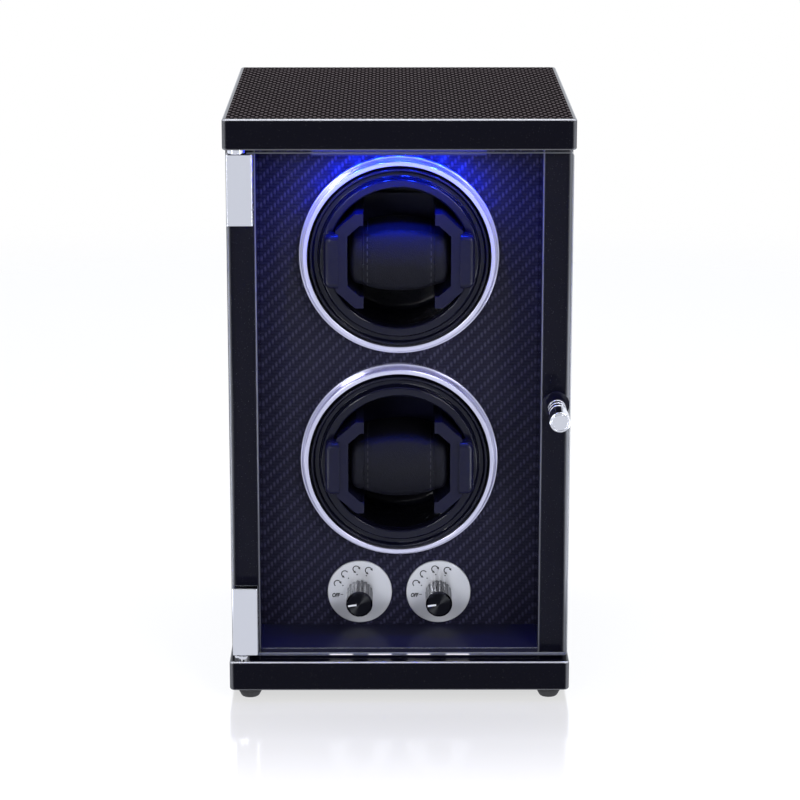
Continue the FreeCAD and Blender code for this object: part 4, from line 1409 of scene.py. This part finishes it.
    def stitch_rows(self, piece: bpy.types.Object) -> None:
        """Makes the bead in each seam and the row of stitches beside it.

        Args:
            piece: The cushion's cover.
        """
        graph = bpy.context.evaluated_depsgraph_get()
        tree = BVHTree.FromObject(piece, graph)
        beads, rows = bmesh.new(), bmesh.new()
        for seam in self.seams():
            self.add_tube(beads, self.girth(tree, seam, self.bead_points), self.bead, True)
            inward = -1 if seam > middle(self.node).x else 1
            line = self.girth(tree, seam + inward * self.seam_to_stitch, self.row_points)
            start, run = 0, 0.0
            for here in range(1, len(line)):
                run += (line[here] - line[here - 1]).length
                if run >= self.stitch and start is not None:
                    self.add_tube(rows, line[start:here + 1:2], self.thread, False)
                    start = None
                if run >= self.stitch + self.stitch_gap:
                    start, run = here, 0.0
        new_piece(f"{self.level}_cushion_beads", beads, CUSHION_LEATHER, self.body)
        new_piece(f"{self.level}_cushion_stitches", rows, CUSHION_THREAD, self.body)

    def build(self) -> None:
        """Makes the cushion, its seams and its stitches."""
        piece = self.remeshed()
        self.inflate(piece)
        self.sew(piece)
        piece.data.shade_smooth()
        piece.data.materials.clear()
        piece.data.materials.append(material_of(CUSHION_LEATHER))
        finer = piece.modifiers.new("finer", "SUBSURF")
        finer.levels = finer.render_levels = 1
        self.apply(piece)
        piece.data.shade_smooth()
        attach(piece, self.body)
        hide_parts(self.node)
        LOG.info("%s rides on %s", piece.name, self.body)
        self.stitch_rows(piece)


@dataclass
class Winder:
    """One turning cup in its ring, with its holder, cushion and drive."""

    level: str

    def build(self) -> None:
        """Makes the cushion."""
        Cushion(self.level).build()

    def dress(self) -> None:
        """Finishes from the ring inwards."""
        for finish, names in {
                RING_CHROME: ("bezel_ring",),
                RIM_BLACK: ("rotor_rim",),
                TRAY_BLACK: ("watch_tray",),
                CUP_BLACK: ("rotor_cup",),
                HOUSING: ("drum_housing", "rotor_pulley", "motor_pulley"),
                STEEL: ("rotor_shaft", "gear_motor")}.items():
            dress(finish, *(f"{self.level}_{name}" for name in names))


class Arrow(Enum):
    """Which ends of a curved arrow have a head: the start, the end."""

    CLOCKWISE = (False, True)
    ANTICLOCKWISE = (True, False)
    BOTH = (True, True)


@dataclass
class Selector:
    """One mode selector: polished plate with its print, and a fluted knob with a pointer."""

    side: str
    off_angle: float = 188.5
    mark_step: float = 30.0
    mark_radius: float = 9.9 * MM
    mark_size: float = 0.38 * MM
    mark_sides: int = 12
    dash_length: float = 1.52 * MM
    icon_radius: float = 13.1 * MM
    icon_size: float = 1.75 * MM
    icon_width: float = 0.58 * MM
    icon_span: Flat = (232.0, 30.0)
    icon_steps: int = 18
    head: Flat = (1.4 * MM, 0.75 * MM)
    word_radius: float = 13.3 * MM
    word_size: float = 3.0 * MM
    word_bold: float = 0.17 * MM
    word_narrow: float = 0.76
    word_shear: float = 0.2
    print_height: float = 0.03 * MM
    knob_bevel: float = 0.9 * MM
    pointer: Flat = (4.6 * MM, 1.0 * MM)
    pointer_depth: float = 0.45 * MM
    pointer_gap: float = 0.02 * MM
    arrows: tuple[Arrow, ...] = (Arrow.CLOCKWISE, Arrow.ANTICLOCKWISE, Arrow.BOTH, Arrow.BOTH)

    def facing(self, node: str) -> Matrix:
        """Plane on a node's front.

        Args:
            node: Name of the node.

        Returns:
            The plane, with its first axis to the right and its second up.
        """
        front = middle(node)
        front.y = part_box(node)[0].y
        return Matrix.Translation(front) @ Matrix.Rotation(math.radians(90), 4, "X")

    def spot(self, radius: float, number: int) -> Flat:
        """Place of one position on a circle round the knob. The first is at the left."""
        turn = math.radians(self.off_angle - self.mark_step * number)
        return radius * math.cos(turn), radius * math.sin(turn)

    def add_arrow(self, bm: bmesh.types.BMesh, plane: Matrix, centre: Flat, arrow: Arrow) -> None:
        """Adds a curved arrow.

        Args:
            bm: Mesh to add to.
            plane: Plane that it is printed on.
            centre: Its centre on that plane.
            arrow: Which ends have heads.
        """
        start, end = self.icon_span
        half = self.icon_width / 2
        outer = arc(self.icon_size + half, start, end, self.icon_steps, centre)
        inner = arc(self.icon_size - half, end, start, self.icon_steps, centre)
        add_prism(bm, outer + inner, plane, self.print_height)
        length, wide = self.head
        for headed, angle, sense in zip(arrow.value, (start, end), (1, -1)):
            if headed:
                turn = math.radians(angle)
                spoke = Vector((math.cos(turn), math.sin(turn)))
                ahead = Vector((-spoke.y, spoke.x)) * sense
                base = Vector(centre) + spoke * self.icon_size
                corners = [base + spoke * wide, base - spoke * wide, base + ahead * length]
                add_prism(bm, [tuple(corner) for corner in corners], plane, self.print_height)

    def add_word(self, bm: bmesh.types.BMesh, plane: Matrix, word: str, place: Flat) -> None:
        """Adds a printed word.

        Args:
            bm: Mesh to add to.
            plane: Plane that it is printed on.
            word: The word.
            place: Its middle on that plane.
        """
        data = bpy.data.curves.new("word", "FONT")
        data.body = word
        data.size = self.word_size
        data.offset = self.word_bold
        data.shear = self.word_shear
        data.extrude = self.print_height / 2
        data.align_x, data.align_y = "CENTER", "CENTER"
        text = placed("word", data)
        bpy.context.view_layer.update()
        mesh = bpy.data.meshes.new_from_object(text.evaluated_get(bpy.context.evaluated_depsgraph_get()))
        narrow = Matrix.Diagonal((self.word_narrow, 1.0, 1.0, 1.0))
        mesh.transform(plane @ Matrix.Translation((*place, self.print_height / 2)) @ narrow)
        bm.from_mesh(mesh)
        bpy.data.objects.remove(text)
        bpy.data.meshes.remove(mesh)

    def build(self) -> None:
        """Makes the print on the plate and the pointer in the knob's groove."""
        plane = self.facing(f"{self.side}_selector_plate")
        bm = bmesh.new()
        self.add_word(bm, plane, "OFF", self.spot(self.word_radius, 0))
        dash = rectangle((self.dash_length, self.mark_size), self.spot(self.mark_radius, 0))
        add_prism(bm, dash, plane, self.print_height)
        for number, arrow in enumerate(self.arrows, start=1):
            self.add_arrow(bm, plane, self.spot(self.icon_radius, number), arrow)
            dot = polygon(self.mark_size, self.mark_sides, self.spot(self.mark_radius, number))
            add_prism(bm, dot, plane, self.print_height)
        new_piece(f"{self.side}_dial_print", bm, BLACK_INK, CABINET)
        self.build_pointer()

    def build_pointer(self) -> None:
        """Makes the white line in the knob's face."""
        knob = f"{self.side}_selector_knob"
        low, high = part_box(knob)
        length, width = self.pointer
        size = (length - 2 * self.pointer_gap, width - 2 * self.pointer_gap)
        start = self.knob_bevel - (high.x - low.x) / 2 + self.pointer_gap
        turn = Matrix.Rotation(math.radians(self.off_angle - 180), 4, "Z")
        face = self.facing(knob) @ turn @ Matrix.Translation((0.0, 0.0, -self.pointer_depth))
        bm = bmesh.new()
        line = rectangle(size, (start + size[0] / 2, 0.0))
        add_prism(bm, line, face, self.pointer_depth - self.pointer_gap)
        new_piece(f"{self.side}_pointer_line", bm, WHITE_INK, f"{self.side}_selector")

    def dress(self) -> None:
        """Finishes of the plate, the knob and what is behind them."""
        centre = middle(f"{self.side}_selector_plate")
        axis = (centre.x, centre.z)
        plate = replace(DIAL_PLATE, name=f"{self.side}_dial_plate", axis=axis)
        knob = replace(KNOB_CHROME, name=f"{self.side}_knob_chrome", axis=axis)
        dress(plate, f"{self.side}_selector_plate")
        dress(knob, f"{self.side}_selector_knob")
        dress(STEEL, f"{self.side}_mode_switch", f"{self.side}_switch_shaft")


@dataclass
class Softbox:
    """One soft lamp that points at the object."""

    name: str
    place: Point
    size: Flat
    power: float
    aim: Point = (0.0, 0.0, 0.15)

    def build(self) -> None:
        """Makes the lamp."""
        lamp = add_lamp(self.name, LampKind.AREA, self.place, self.power, WHITE)
        lamp.data.shape = "RECTANGLE"
        lamp.data.size, lamp.data.size_y = self.size
        lamp.rotation_euler = turned_to(self.place, self.aim)


@dataclass
class Studio:
    """Camera, lamps, white surroundings and a pale table."""

    eye: Point = (-4.9 * MM, -1539.1 * MM, 529.9 * MM)
    aim: Point = (0.3 * MM, -86.0 * MM, 164.9 * MM)
    lens: float = 130.4
    floor_radius: float = 1.4
    floor_sides: int = 60
    fill: float = 0.3
    dark_room: float = 0.05
    backdrop: Flat = (0.1, 0.4)
    side_walls: Flat = (0.42, 0.62)
    ceiling: Flat = (0.62, 0.8)
    table_edge: Flat = (0.02, -0.03)
    table_light: float = 0.75
    wall_light: float = 0.85
    shiny: tuple[str, ...] = ("Is Glossy Ray", "Is Transmission Ray")
    lamps: list[Softbox] = field(default_factory=lambda: [
        Softbox("top_box", (-0.1, 0.2, 1.3), (1.0, 0.8), 7.0),
        Softbox("front_box", (0.6, -1.25, 0.75), (0.4, 0.5), 6.5),
        Softbox("key_box", (-0.4, -1.3, 0.4), (0.3, 0.3), 4.0),
        Softbox("right_strip", (0.95, -0.85, 0.45), (0.06, 1.3), 3.0),
        Softbox("left_strip", (-1.05, -0.75, 0.45), (0.06, 1.3), 1.5),
    ])

    def build(self) -> None:
        """Sets up the whole studio."""
        self.build_camera()
        for lamp in self.lamps:
            lamp.build()
        self.build_world()
        self.build_floor()
        bpy.context.scene.view_settings.view_transform = "Standard"

    def build_camera(self) -> None:
        """Makes the camera at the photograph's viewing angle."""
        data = bpy.data.cameras.new("camera")
        data.lens = self.lens
        camera = placed("camera", data)
        camera.location = self.eye
        camera.rotation_euler = turned_to(self.eye, self.aim)
        bpy.context.scene.camera = camera

    def build_world(self) -> None:
        """Makes white surroundings that are dim in front of the object."""
        world = bpy.data.worlds.new("studio")
        world.use_nodes = True
        bpy.context.scene.world = world
        web = Web(world.node_tree)
        seen = web.node("ShaderNodeLightPath", out="Is Camera Ray")
        shine = web.most(*(web.node("ShaderNodeLightPath", out=ray) for ray in self.shiny))
        aside, depth, above = web.split(web.node("ShaderNodeTexCoord", out="Generated"))
        walls = web.most(web.smooth(abs(aside), *self.side_walls), web.smooth(above, *self.ceiling))
        table = self.table_light * web.smooth(above, *self.table_edge)
        room = web.most(self.dark_room + self.wall_light * walls, web.smooth(depth, *self.backdrop), table)
        light = seen + (1 - seen) * (shine * room + (1 - shine) * self.fill)
        tint = web.mix((1 - seen) * shine, WHITE, COOL)
        sky = web.node("ShaderNodeBackground", {}, {"Color": tint, "Strength": light})
        web.node("ShaderNodeOutputWorld", {}, {"Surface": sky})

    def build_floor(self) -> None:
        """Makes the table."""
        bm = bmesh.new()
        bm.faces.new(add_loop(bm, polygon(self.floor_radius, self.floor_sides), Matrix.Identity(4)))
        mesh = bpy.data.meshes.new("table")
        bm.to_mesh(mesh)
        bm.free()
        mesh.materials.append(material_of(TABLE))
        placed("table", mesh)


def main() -> None:
    """Builds and dresses the sub-assemblies in order, then sets up the studio."""
    logging.basicConfig(level=logging.INFO, format="%(message)s")
    assemblies = [Cabinet(), LightStrip(), Door()]
    assemblies += [Winder(level) for level in LEVELS]
    assemblies += [Selector(side) for side in SIDES]
    for assembly in assemblies:
        assembly.build()
        assembly.dress()
    Studio().build()


if __name__ == "__main__":
    main()
